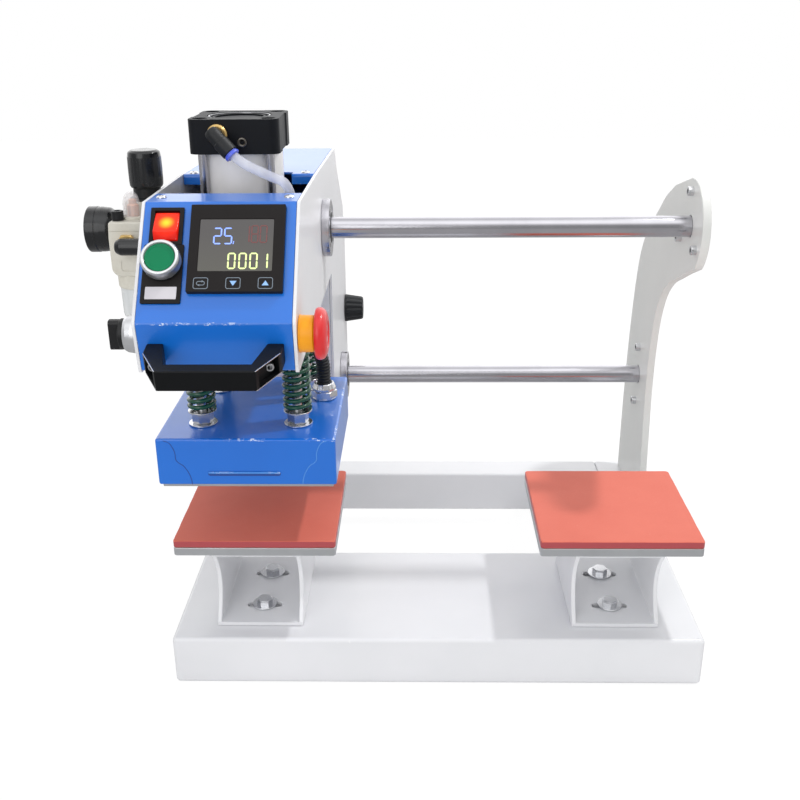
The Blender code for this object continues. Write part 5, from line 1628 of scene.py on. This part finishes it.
def makeController():
    d = display
    place = onPanel(d["x"], d["y"])
    lip = prism(roundedRectangle(d["side"], d["side"], d["corner"], 8), 0.0002, d["lip"], "Z")
    body = block((-d["body"], -d["body"], -d["deep"]), (d["body"], d["body"], 0.0004))
    width, height, x, y = d["glass"]
    pocket = roundedRectangle(width + 0.0008, height + 0.0008, 0.0010, 5, x, y)
    pocket = prism(pocket, d["lip"] - 0.0009, 0.012, "Z")
    made(
        "controller_case", lip, "bezel", "controller", at=place, edge=0.0003, cuts=(pocket,),
        joins=(body,),
    )
    glass = prism(
        roundedRectangle(width + 0.0004, height + 0.0004, 0.0009, 5, x, y), 0.0034, d["glassTop"], "Z",
    )
    made("display_glass", glass, "display", at=place, edge=0.0002)
    low, high = d["glassTop"] - 0.0001, d["glassTop"] + 0.00012
    for word, text, places, *sizes in d["rows"]:
        bars = [bar for digit, x in zip(text, places) for bar in digitBars(digit, x, *sizes)]
        if word == "blue":
            bars.append(d["tick"])
        made(
            f"{word}_digits", together(*[prism(bar, low, high, "Z") for bar in bars]), f"{word}Digit",
            at=place
        )
    makeKeys(place)
    print("controller made")


def makeKeys(place):
    # Each key's printed frame, and its arrows
    d = display
    y = d["keyY"]
    low, high = d["lip"] - 0.0001, d["lip"] + 0.00014

    def keyFrame(x, width, height, corner, line, innerCorner):
        # A flat frame between two outlines with the same number of corners
        outer = roundedRectangle(width, height, corner, 6, x, y)
        inner = roundedRectangle(width - 2 * line, height - 2 * line, innerCorner, 6, x, y)
        levels = ((outer, low), (outer, high), (inner, high), (inner, low))
        return lofted([[(a, b, z) for a, b in outline] for outline, z in levels], True)

    wide, tall, corner = d["key"]
    left, middle, right = d["keys"]
    frames = [keyFrame(x, wide, tall, corner, d["line"], corner - d["line"]) for x in d["keys"]]
    frames.append(keyFrame(left, 0.0064, 0.0034, 0.0016, 0.0005, 0.0011))
    for side in (-1, 1):
        tip, root = left + side * 0.0022, left + side * 0.0008
        arrow = ((tip, y + side * 0.0015), (root, y + side * 0.0024), (root, y + side * 0.0006))
        frames.append(prism(arrow, low, high + 0.00003, "Z"))
    icons = []
    for x, way in ((middle, -1), (right, 1)):
        corners = ((x - 0.0026, y - way * 0.0018), (x + 0.0026, y - way * 0.0018), (x, y + way * 0.0021))
        icons.append(prism(corners, low, high, "Z"))
    made("key_frames", together(*frames), "iconLine", at=place)
    made("key_icons", together(*icons), "icon", at=place)


rocker = {
    "x": -0.0400, "y": 0.0290, "width": 0.0255, "height": 0.0310, "proud": 0.0021, "openX": 0.0095,
    "openY": 0.0128, "wall": 0.001, "deep": 0.020, "pivot": 0.003, "half": 0.0117, "ridge": 0.0064,
    "ridgeHigh": 0.0060, "endHigh": 0.0015, "topHigh": 0.0008, "skirt": 0.005, "clear": 0.00018,
}


def makeRocker():
    r = rocker
    place = onPanel(r["x"], r["y"])
    lip = prism(roundedRectangle(r["width"], r["height"], 0.0007, 5), 0.0002, r["proud"], "Z")
    x, y = r["openX"] + r["wall"], r["openY"] + r["wall"]
    housing = block((-x, -y, -r["deep"]), (x, y, 0.0006))
    well = prism(
        roundedRectangle(2 * r["openX"], 2 * r["openY"], 0.0006, 4), r["wall"] - r["deep"], 0.01, "Z",
    )
    made(
        "rocker_frame", lip, "bezel", "rocker_bezel", at=place, edge=0.0006, steps=3, cuts=(well,),
        joins=(housing,),
    )
    up = r["pivot"]
    outline = arcCorners((
        (-r["half"], r["endHigh"] + up, 0.0012), (-r["ridge"], r["ridgeHigh"] + up, 0.0011),
        (r["half"], r["topHigh"] + up, 0.0010), (r["half"] - 0.0003, -r["skirt"], 0.0),
        (0.0003 - r["half"], -r["skirt"], 0.0),
    ), 6)
    side = r["openX"] - r["clear"]
    pivot = onPanel(r["x"], r["y"], -up)
    made(
        "rocker_lens", prism(outline, -side, side), "rocker", "rocker_button", body="rocker", at=pivot,
        edge=0.0008, steps=4,
    )
    print("rocker made")


startButton = {
    "x": -0.0405, "y": -0.002, "plate": (0.030, 0.048, 0.0010), "drop": 0.0085, "thick": 0.0018,
    "outer": 0.01475, "bore": 0.01135, "high": 0.0135, "neck": 0.011, "deep": 0.030, "cap": 0.01122,
    "capTop": 0.0125, "capLow": 0.0060, "label": (0.0236, 0.0100), "labelY": -0.0240, "gasket": 0.0116,
}


def makeStartButton():
    s = startButton
    place = onPanel(s["x"], s["y"])
    bore, outer, high, thick, cap, top = (
        s[word] for word in ("bore", "outer", "high", "thick", "cap", "capTop")
    )
    plate = prism(roundedRectangle(*s["plate"], 6, 0, -s["drop"]), 0.0002, thick, "Z")
    wide, tall = s["label"]
    pocket = prism(
        roundedRectangle(wide + 0.0008, tall + 0.0008, 0.0006, 4, 0, s["labelY"]), 0.0012, 0.006, "Z",
    )
    made(
        "legend_plate", plate, "bezel", "start_button_bezel", at=place, edge=0.0005, steps=3,
        cuts=(pocket,),
    )
    card = prism(roundedRectangle(wide, tall, 0.0005, 4, 0, s["labelY"]), 0.0011, 0.00155, "Z")
    made("legend_card", card, "label", at=place, edge=0.0001)
    ring = (
        (bore, 0.0030, 0.0002), (bore, 0.0122, 0.0004), (bore + 0.0007, high, 0.0006),
        (outer - 0.0009, high, 0.0012), (outer, 0.0118, 0.0010), (outer, 0.0046, 0.0004),
        (outer - 0.0006, 0.0040, 0.0002), (outer - 0.0006, 0.0030, 0.0002),
    )
    made("start_ring", lathe(ring, 0.0004, 4, 96, ring=True), "ring", at=place)
    gasket = (
        (s["gasket"], thick - 0.0002), (outer - 0.0002, thick - 0.0002), (outer - 0.0003, 0.0032),
        (s["gasket"], 0.0032),
    )
    made("start_gasket", lathe(gasket, 0.0003, 3, 72, ring=True), "rubber", at=place)

    def knurl(angle, z):
        return 0.0003 * math.cos(angle * 24)

    stem = rod(s["neck"], -s["deep"], 0.0022, 56, edge=0.0006)
    nut = ((0.0136, -0.0066), (0.0140, -0.0062), (0.0140, -0.0026), (0.0136, -0.0022))
    made("start_stem", together(stem, turned(nut, 96, flute=knurl)), "plastic", at=place)
    dish = (
        (0, s["capLow"]), (cap, s["capLow"], 0.0004), (cap, top, 0.0005), (cap - 0.0012, top, 0.0005),
        (cap - 0.0022, top - 0.0005, 0.0010), (0, top - 0.0008),
    )
    made(
        "start_cap", lathe(dish, 0.0004, 4, 96), "green", "start_button_cap", body="start_button",
        at=place,
    )
    print("start button made")


# Handle on the lower panel

grip = {
    "outer": 0.0515, "bar": 0.036, "reach": 0.045, "depth": 0.012, "foot": 0.0125, "half": 0.008,
    "drop": 0.003, "pocket": 0.0048, "from": 0.10, "to": 0.88, "rim": 0.0011, "knee": (0.0508, 0.016),
    "low": 0.0003,
}


def makeHandle():
    g = grip
    bar = g["bar"] - g["foot"] * 0.36
    under = g["reach"] - g["depth"]
    knee, kneeHigh = g["knee"]
    half, pocket, rim = g["half"], g["pocket"], g["rim"]
    outline = (
        (-g["outer"], g["low"]), (-knee, kneeHigh), (-g["bar"], g["reach"]), (g["bar"], g["reach"]),
        (knee, kneeHigh), (g["outer"], g["low"]), (g["outer"] - g["foot"], g["low"]), (bar, under),
        (-bar, under), (g["foot"] - g["outer"], g["low"]),
    )
    place = lowPlace @ Matrix.Translation((0, -g["drop"], 0))
    cuts, rimHighlights, screws = [], [], []
    for side in (-1, 1):
        foot, top = Vector((side * knee, kneeHigh)), Vector((side * g["bar"], g["reach"]))
        along = (top - foot).normalized()
        outward = Vector((side * along.y, -side * along.x))
        start, end = foot.lerp(top, g["from"]), foot.lerp(top, g["to"])
        corners = (
            start + outward * 0.004, end + outward * 0.004, end - outward * pocket,
            start - outward * pocket,
        )
        cuts.append(prism([tuple(c) for c in corners], rim - half, half - rim, "Y"))
        for edge in (-1, 1):
            # Thin bright metal strips along the edges beside each pocket: painted highlights where the
            # light catches these edges
            a, b = foot.lerp(top, 0.01), foot.lerp(top, 0.985)
            lift = outward * 0.00008
            strip = (a + lift, b + lift, b - outward * 0.0007, a - outward * 0.0007)
            low, high = sorted((edge * (half + 0.00006), edge * (half - 0.00055)))
            rimHighlights.append(placed(prism([tuple(c) for c in strip], low, high, "Y"), place))
        seat = foot.lerp(top, 0.22) - outward * (pocket + 0.0012)
        turn = (Vector((outward.x, 0, outward.y)) * 0.35 + Vector((0, 0, 1))).normalized()
        turn = (lowPlace.to_3x3() @ turn).to_track_quat("Z", "Y").to_euler()
        screws.append((tuple(place @ Vector((seat.x, 0, seat.y))), tuple(turn)))
    made(
        "handle_bar", prism(outline, -half, half, "Y"), "gripBlack", "handle", at=place, edge=0.0010,
        steps=3, cuts=(together(*cuts),), softFirst=True,
    )
    made("handle_rims", together(*rimHighlights), "zinc", slot="black_plastic", edge=0.0002)
    copies("handle_screws", socketHead(0.0064, 0.0044, 0.0036), screws, "steel")
    print("handle made")


# Switches and knob on the side plates

sideSwitch = {
    "right": (-0.108, -0.155, 0.3715), "left": (-0.230, -0.155, 0.3715), "plate": 0.0028, "block": 0.010,
    "blockDeep": 0.022, "groove": 0.0100, "pin": 0.0016, "pinAt": 0.006,
}


def contactBlock(name, place, flip):
    # The stacked contact blocks inside the plate, with their screws
    s = sideSwitch
    low, high, half, groove = -s["plate"] - s["blockDeep"], -s["plate"], s["block"], s["groove"]
    body = block((low, -half, -half), (high, half, half))
    grooves = [
        block(
            (low + 0.0105, side * groove - 0.0006, -0.012), (low + 0.0113, side * groove + 0.0006, 0.012),
        )
        for side in (-1, 1)
    ]
    shape = carve(body, together(*grooves))
    pins = together(*[
        moved(rod(s["pin"], low - 0.0006, low + 0.001, 20, "X"), 0, y, z)
        for y, z in fourCorners(s["pinAt"])
    ])
    if flip:
        shape, pins = mirrored(shape), mirrored(pins)
    made(f"{name}_contacts", shape, "plastic", at=place, edge=0.0005)
    made(f"{name}_terminals", pins, "brass", slot="black_plastic", at=place)


def makeStopButton():
    at = sideSwitch["right"]
    collar = (
        (0, -0.0028), (0.0110, -0.0028), (0.0110, 0.0003), (0.0145, 0.0003, 0.0003),
        (0.0145, 0.0016, 0.0003), (0.01425, 0.0019, 0.0002), (0.0141, 0.0112, 0.0006),
        (0.0134, 0.0120, 0.0006), (0.0073, 0.0120, 0.0003), (0.0073, 0.0034), (0, 0.0034),
    )
    made("stop_collar", lathe(collar, 0.0003, 3, 88, "X"), "yellow", "e_stop_base", at=at)
    contactBlock("stop", at, False)
    crown = smoothLine((
        (0.0172, 0.0124), (0.0188, 0.0129), (0.0198, 0.0143), (0.0200, 0.0161), (0.0196, 0.0179),
        (0.0184, 0.0196), (0.0163, 0.0209), (0.0138, 0.0217), (0.0118, 0.0220), (0.0106, 0.0217),
        (0.0098, 0.0210),
    ), 3)
    profile = [(0, 0.0077), (0.0070, 0.0077), (0.0070, 0.0165), (0.0156, 0.0165), (0.0156, 0.0124)]
    profile += [*crown, (0.0090, 0.0207), (0.0, 0.0206)]
    made("stop_head", turned(profile, 96, "X"), "red", "e_stop_head", body="e_stop", at=at, angle=50)
    arrows = []
    for k in range(3):
        # A bent arrow: its shaft and its head
        start = 2 * math.pi * k / 3
        arc = [start + 1.15 * j / 10 for j in range(11)]
        tip, root = start + 1.55, start + 1.12
        shaft = [onCircle(0.0079, a) for a in arc] + [onCircle(0.0068, a) for a in arc][::-1]
        point = [onCircle(0.0058, root), onCircle(0.0089, root), onCircle(0.0073, tip)]
        arrows.append(prism(shaft, 0.0205, 0.02075))
        arrows.append(prism(point, 0.0205, 0.0208))
    made("stop_arrows", together(*arrows), "label", body="e_stop", slot="red_plastic", at=at)
    print("stop button made")


def makeSelector():
    at = sideSwitch["left"]
    bezel = (
        (0, -0.0028), (0.0110, -0.0028), (0.0110, 0.0003), (0.01475, 0.0003, 0.0003),
        (0.01475, 0.0036, 0.0020), (0.0141, 0.0078, 0.0022), (0.0129, 0.0100, 0.0006),
        (0.0122, 0.0100, 0.0003), (0.0120, 0.0090), (0, 0.0090),
    )
    made("selector_bezel", mirrored(lathe(bezel, 0.0003, 4, 96, "X")), "ring", "selector_base", at=at)
    contactBlock("selector", at, True)
    dial = (
        (0, 0.0103), (0.0119, 0.0103, 0.0002), (0.0119, 0.0135, 0.0010), (0.0104, 0.0143, 0.0006),
        (0, 0.0143),
    )
    corners = ((-0.0045, -0.0120), (0.0045, -0.0120), (0.0045, 0.0112), (-0.0045, 0.0112))
    bar = arcCorners([(y, z, 0.0030) for y, z in corners], 6)
    made(
        "selector_lever", mirrored(lathe(dial, 0.0004, 4, 80, "X")), "plastic", "selector_handle",
        body="selector", at=at, edge=0.0030, steps=5,
        joins=(mirrored(prism(bar, 0.0135, 0.0222)),),
    )
    mark = mirrored(block((0.0221, -0.0007, 0.0026), (0.02235, 0.0007, 0.0084)))
    made("selector_mark", mark, "label", body="selector", at=at)
    print("selector made")


sideKnob = {
    "at": (-0.108, 0.304, 0.257), "radius": 0.0165, "nose": 0.0135, "high": 0.022, "flutes": 14,
    "depth": 0.0011, "spindle": 0.0040, "deep": 0.014,
}


def makeSideKnob():
    k = sideKnob
    at, wide, nose, high = k["at"], k["radius"], k["nose"], k["high"]

    def flute(angle, height):
        if height < 0.0030 or height > 0.0208:
            return 0.0
        wave = 0.5 + 0.5 * math.cos(k["flutes"] * angle)
        return -k["depth"] * (1 - wave ** 0.55)

    profile = [(0, 0.0003), (wide, 0.0003), (wide, 0.0028), (wide - 0.0002, 0.0031)]
    for j in range(1, 10):
        share = j / 9
        profile.append((wide - 0.0002 + (nose + 0.0004 - wide) * share, 0.0031 + 0.0176 * share))
    profile += [
        (nose - 0.0006, 0.0216), (nose - 0.0014, high), (0.0088, high), (0.0084, 0.0216), (0, 0.0216),
    ]
    body = turned(profile, 168, "X", flute=flute)
    spindle = rod(k["spindle"], -k["deep"], 0.0012, 32, "X", 0.0004)
    mark = block((0.0215, -0.0006, 0.0010), (0.02185, 0.0006, 0.0080))
    made("flow_knob_body", body, "rubber", "side_knob", body="flow_knob", at=at, angle=40)
    made("flow_knob_spindle", spindle, "steel", body="flow_knob", at=at)
    made("flow_knob_mark", mark, "label", body="flow_knob", at=at)
    print("side knob made")


# Air supply: regulator, lubricator and gauge

air = {
    "x": -0.255, "half": 0.017, "low": 0.391, "high": 0.446, "plate": -0.2303, "castLeft": -0.2755,
    "castRight": -0.2313, "castTop": 0.4375, "castY": -0.043, "castHalf": 0.017, "domeX": -0.258,
    "plug": (-0.268, -0.0515), "outletX": -0.2597, "outletZ": 0.4195, "outletY": -0.072, "knobLow": 0.4565,
    "knobHigh": 0.032, "bowlLow": 0.3467,
}


def makeRegulator():
    a = air
    x, low, high = a["x"], a["low"], a["high"]
    middle = (low + high) / 2
    body = prism(roundedRectangle(2 * a["half"], 2 * a["half"], 0.0050, 8, x, 0), low, high, "Z")
    boss = block((x, -0.0085, middle - 0.017), (a["plate"], 0.0085, middle + 0.0085))
    link = block((x - 0.0085, -0.0270, middle - 0.0085), (x + 0.0085, -0.0160, middle + 0.0085))
    panels = [
        block((x - 0.0180, -0.0105, low + 0.0035), (x - 0.0164, 0.0105, low + 0.0125)),
        block((x - 0.0100, 0.0164, low + 0.008), (x + 0.0100, 0.0180, high - 0.012)),
    ]
    made(
        "regulator_body", body, "cast", "air_unit_body", edge=0.0011, steps=3, cuts=(together(*panels),),
        joins=(together(boss, link),),
    )
    foot = a["knobLow"] - 0.0003
    neck = (
        (0, high - 0.0006), (0.0156, high - 0.0006), (0.0156, high + 0.0016, 0.0008),
        (0.0132, high + 0.0026, 0.0006), (0.0122, high + 0.0030, 0.0004), (0.0118, foot, 0.0002),
        (0, foot),
    )
    made("regulator_neck", lathe(neck, 0.0004, 4, 72), "plastic", slot="cream_paint", at=(x, 0, 0))
    port = (
        (0.0070, 0.0166), (0.0070, 0.0184), (0.0062, 0.0190), (0.0040, 0.0190), (0.0036, 0.0175),
        (0, 0.0175),
    )
    made(
        "regulator_port_plug", turned(port, 6, "Y"), "brass", slot="cream_paint",
        at=(x, 0, middle - 0.006), edge=0.0003,
    )

    def ribs(angle, z):
        inside = min(max((z - 0.0035) / 0.002, 0), 1) * min(max((0.0262 - z) / 0.003, 0), 1)
        return -0.00028 * inside * max(0.0, math.cos(angle * 18)) ** 6

    top = a["knobHigh"]
    knob = (
        (0, 0), (0.0132, 0, 0.0006), (0.0142, 0.0018, 0.0006), (0.0145, 0.0048, 0.0006),
        (0.0146, 0.0160, 0.0020), (0.0144, 0.0262, 0.0020), (0.0138, 0.0303, 0.0026),
        (0.0112, top - 0.0002, 0.0018), (0.0060, top, 0.001), (0, top - 0.0003),
    )
    made(
        "pressure_knob_cap", lathe(knob, 0.0006, 5, 144, flute=ribs), "gloss", "regulator_knob",
        body="pressure_knob", at=(x, 0, a["knobLow"]), angle=40,
    )
    print("regulator made")


def makeLubricator():
    a = air
    y, left, right, top, low = a["castY"], a["castLeft"], a["castRight"], a["castTop"], a["bowlLow"]
    front = y - a["castHalf"]
    at = (a["domeX"], y, 0)
    outline = arcCorners((
        (left + 0.0010, top, 0.0024), (left, 0.424, 0.010), (left, a["low"], 0.0080),
        (right, a["low"], 0.0040), (right, top, 0.0016),
    ), 7)
    groove = block((left - 0.002, front - 0.002, 0.4296), (right + 0.002, front + 0.0006, 0.4302))
    panel = prism(
        roundedRectangle(0.0300, 0.0100, 0.0025, 6, -0.2520, 0.4010), front - 0.002, front + 0.0005, "Y",
    )
    made(
        "lubricator_casting", prism(outline, front, y + a["castHalf"], "Y"), "cast", edge=0.0015, steps=4,
        cuts=(together(groove, panel),), softFirst=True,
    )
    guard = (
        (0.0161, 0.3916), (0.0174, 0.3916), (0.0172, 0.3810, 0.0006), (0.0166, 0.3797, 0.0004),
        (0.0161, 0.3797),
    )
    made("bowl_guard", lathe(guard, 0.0003, 3, 88, ring=True), "cast", at=at)
    bowl = (
        (0.0160, 0.3907, 0.0002), (0.0157, low + 0.0100, 0.0040), (0.0140, low + 0.0034, 0.0035),
        (0.0070, low, 0.0030), (0.0, low), (0.0, low + 0.0016), (0.0066, low + 0.0016, 0.002),
        (0.0124, low + 0.0046, 0.003), (0.0142, low + 0.0110, 0.003), (0.0145, 0.3907, 0.0002),
    )
    made("oil_bowl", turned(softProfile(bowl, 0.0006, 4), 80, ring=True), "bowl", "lubricator_bowl", at=at)
    dip = together(rod(0.0016, low + 0.006, 0.3912, 20), rod(0.0042, low + 0.003, low + 0.008))
    made("dip_tube", dip, "brass", slot="clear_plastic", at=at)
    seat = (
        (0, top - 0.0004), (0.0083, top - 0.0004), (0.0083, top + 0.0014, 0.0005),
        (0.0076, top + 0.0022, 0.0004), (0, top + 0.0022),
    )
    made("dome_seat", lathe(seat, 0.0003, 3, 64), "cast", at=at)
    dome = (
        (0.0064, top + 0.0021), (0.0072, top + 0.0021), (0.0072, top + 0.0128, 0.004),
        (0.0058, top + 0.0193, 0.004), (0.0028, top + 0.0220, 0.002), (0.0, top + 0.0220),
        (0.0, top + 0.0208), (0.0024, top + 0.0208, 0.002), (0.0050, top + 0.0184, 0.003),
        (0.0063, top + 0.0124, 0.004),
    )
    made("sight_dome", turned(softProfile(dome, 0.0008, 5), 72, ring=True), "dome", at=at)
    core = (
        (0, top + 0.0020), (0.0048, top + 0.0020), (0.0048, top + 0.0112, 0.0008),
        (0.0032, top + 0.0124, 0.0006), (0.0032, top + 0.0160, 0.0008), (0, top + 0.0166),
    )
    made("drip_core", lathe(core, 0.0004, 4, 48), "copper", at=(a["domeX"] + 0.0012, y, 0))
    plug = [((*a["plug"], top - 0.0006), (0, 0, 0.4))]
    copies("fill_plug", socketHead(0.0100, 0.0086, 0.0048), plug, "plastic", edge=0.0003)
    makeOutlet(front)
    print("lubricator made")


def makeOutlet(front):
    # The elbow from the lubricator to the side plate, and the gauge's stem
    a = air
    x, y, z = a["outletX"], a["outletY"], a["outletZ"]
    collar = placed(hexShape(0.0150, 0.0040, True), layDown)
    made("outlet_collar", collar, "brass", slot="cream_paint", at=(x, front + 0.0004, z))
    low, high = x - 0.0070, a["plate"]
    elbow = lathe((
        (0, low), (0.0048, low, 0.0030), (0.0070, low + 0.0044, 0.0036), (0.0070, high - 0.0060, 0.0004),
        (0.0076, high - 0.0056, 0.0004), (0.0076, high - 0.0008, 0.0006), (0.0058, high - 0.0002),
        (0, high - 0.0002),
    ), 0.0006, 5, 72, "X")
    neck = moved(rod(0.0064, y, front - 0.0034, 56, "Y"), x, 0, z)
    made("outlet_elbow", moved(elbow, 0, y, z), "gloss", slot="cream_paint", joins=(neck,), angle=40)
    hexagon = [onCircle(0.0064, k * math.pi / 3 + 0.2, *gauge["back"][1:]) for k in range(6)]
    stem = prism(hexagon, gauge["back"][0] - 0.0005, a["x"] - a["half"] + 0.0006)
    made("gauge_stem", stem, "brass", slot="cream_paint", edge=0.0005)


gauge = {
    "back": (-0.2830, -0.008, 0.421), "deep": 0.0237, "recess": 0.005, "card": 0.0171, "low": 225.0,
    "sweep": 270.0, "size": 0.0036, "ticks": 40, "tickEnd": 0.0160, "figures": 0.0101,
    "pointer": ((-0.0034, -0.0009), (0.0128, -0.0002), (0.0131, 0.0), (0.0128, 0.0002), (-0.0034, 0.0009)),
}


def makeGauge():
    g = gauge
    deep = g["deep"]
    face = deep - g["recess"]
    x, y, z = g["back"]
    place = Matrix(((0, 0, -1, x), (-1, 0, 0, y), (0, 1, 0, z), (0, 0, 0, 1)))
    case = (
        (0, 0), (0.0150, 0, 0.0050), (0.0188, 0.0040, 0.0040), (0.0196, 0.0110, 0.002),
        (0.0196, 0.0148, 0.0002), (0.0200, 0.0152, 0.0003), (0.0200, deep - 0.0008, 0.0012),
        (0.0190, deep, 0.0008), (0.0178, deep - 0.0003, 0.0005), (0.0174, face + 0.0030, 0.0002),
        (0.0174, face), (0, face),
    )
    made("gauge_case", lathe(case, 0.0005, 5, 112), "gloss", "pressure_gauge", at=place, angle=40)
    made("gauge_dial", rod(g["card"], face - 0.0001, face + 0.0002, 80), "card", at=place)
    ink = (face + 0.0001, face + 0.00025)
    marks, words = [], []
    for k in range(g["ticks"] + 1):
        # Every eighth tick is long and has a figure, and every fourth is a little longer than the rest
        angle = math.radians(g["low"] - g["sweep"] * k / g["ticks"])
        inner, half = (0.0142 if k % 4 == 0 else 0.0148), 0.00013
        if k % 8 == 0:
            inner, half = 0.0128, 0.00028
            words.append((str(k // 4), *onCircle(g["figures"], angle)))
        tick = block((inner, -half, ink[0]), (g["tickEnd"], half, ink[1]))
        marks.append(placed(tick, Matrix.Rotation(angle, 4, "Z")))
    made("gauge_marks", together(lettering(words, g["size"], *ink), *marks), "ink", at=place, angle=60)
    lens = ((0, 0.0222), (0.0175, 0.0222), (0.0175, 0.0228), (0.0120, 0.0231), (0, 0.0233))
    made("gauge_glass", turned(lens, 80), "lens", at=place)
    pointer = placed(
        prism(g["pointer"], 0.0194, 0.0200, "Z"), Matrix.Rotation(math.radians(g["low"]), 4, "Z"),
    )
    hub = lathe(((0, 0.0190), (0.0025, 0.0190), (0.0025, 0.0202, 0.0005), (0, 0.0206)), 0.0003, 3, 40)
    made("gauge_pointer", together(pointer, hub), "pointer", "gauge_needle", body="needle", at=place)
    print("gauge made")


for make in (
    makeBase, makeArms, makeRails, makeStations, makeSidePlates, makeCovers, makeBearings, makeCylinder,
    makeAirLine, makePressHead, makeController, makeRocker, makeStartButton, makeHandle, makeStopButton,
    makeSelector, makeSideKnob, makeRegulator, makeLubricator, makeGauge, makeCamera, makeStudio,
):
    make()
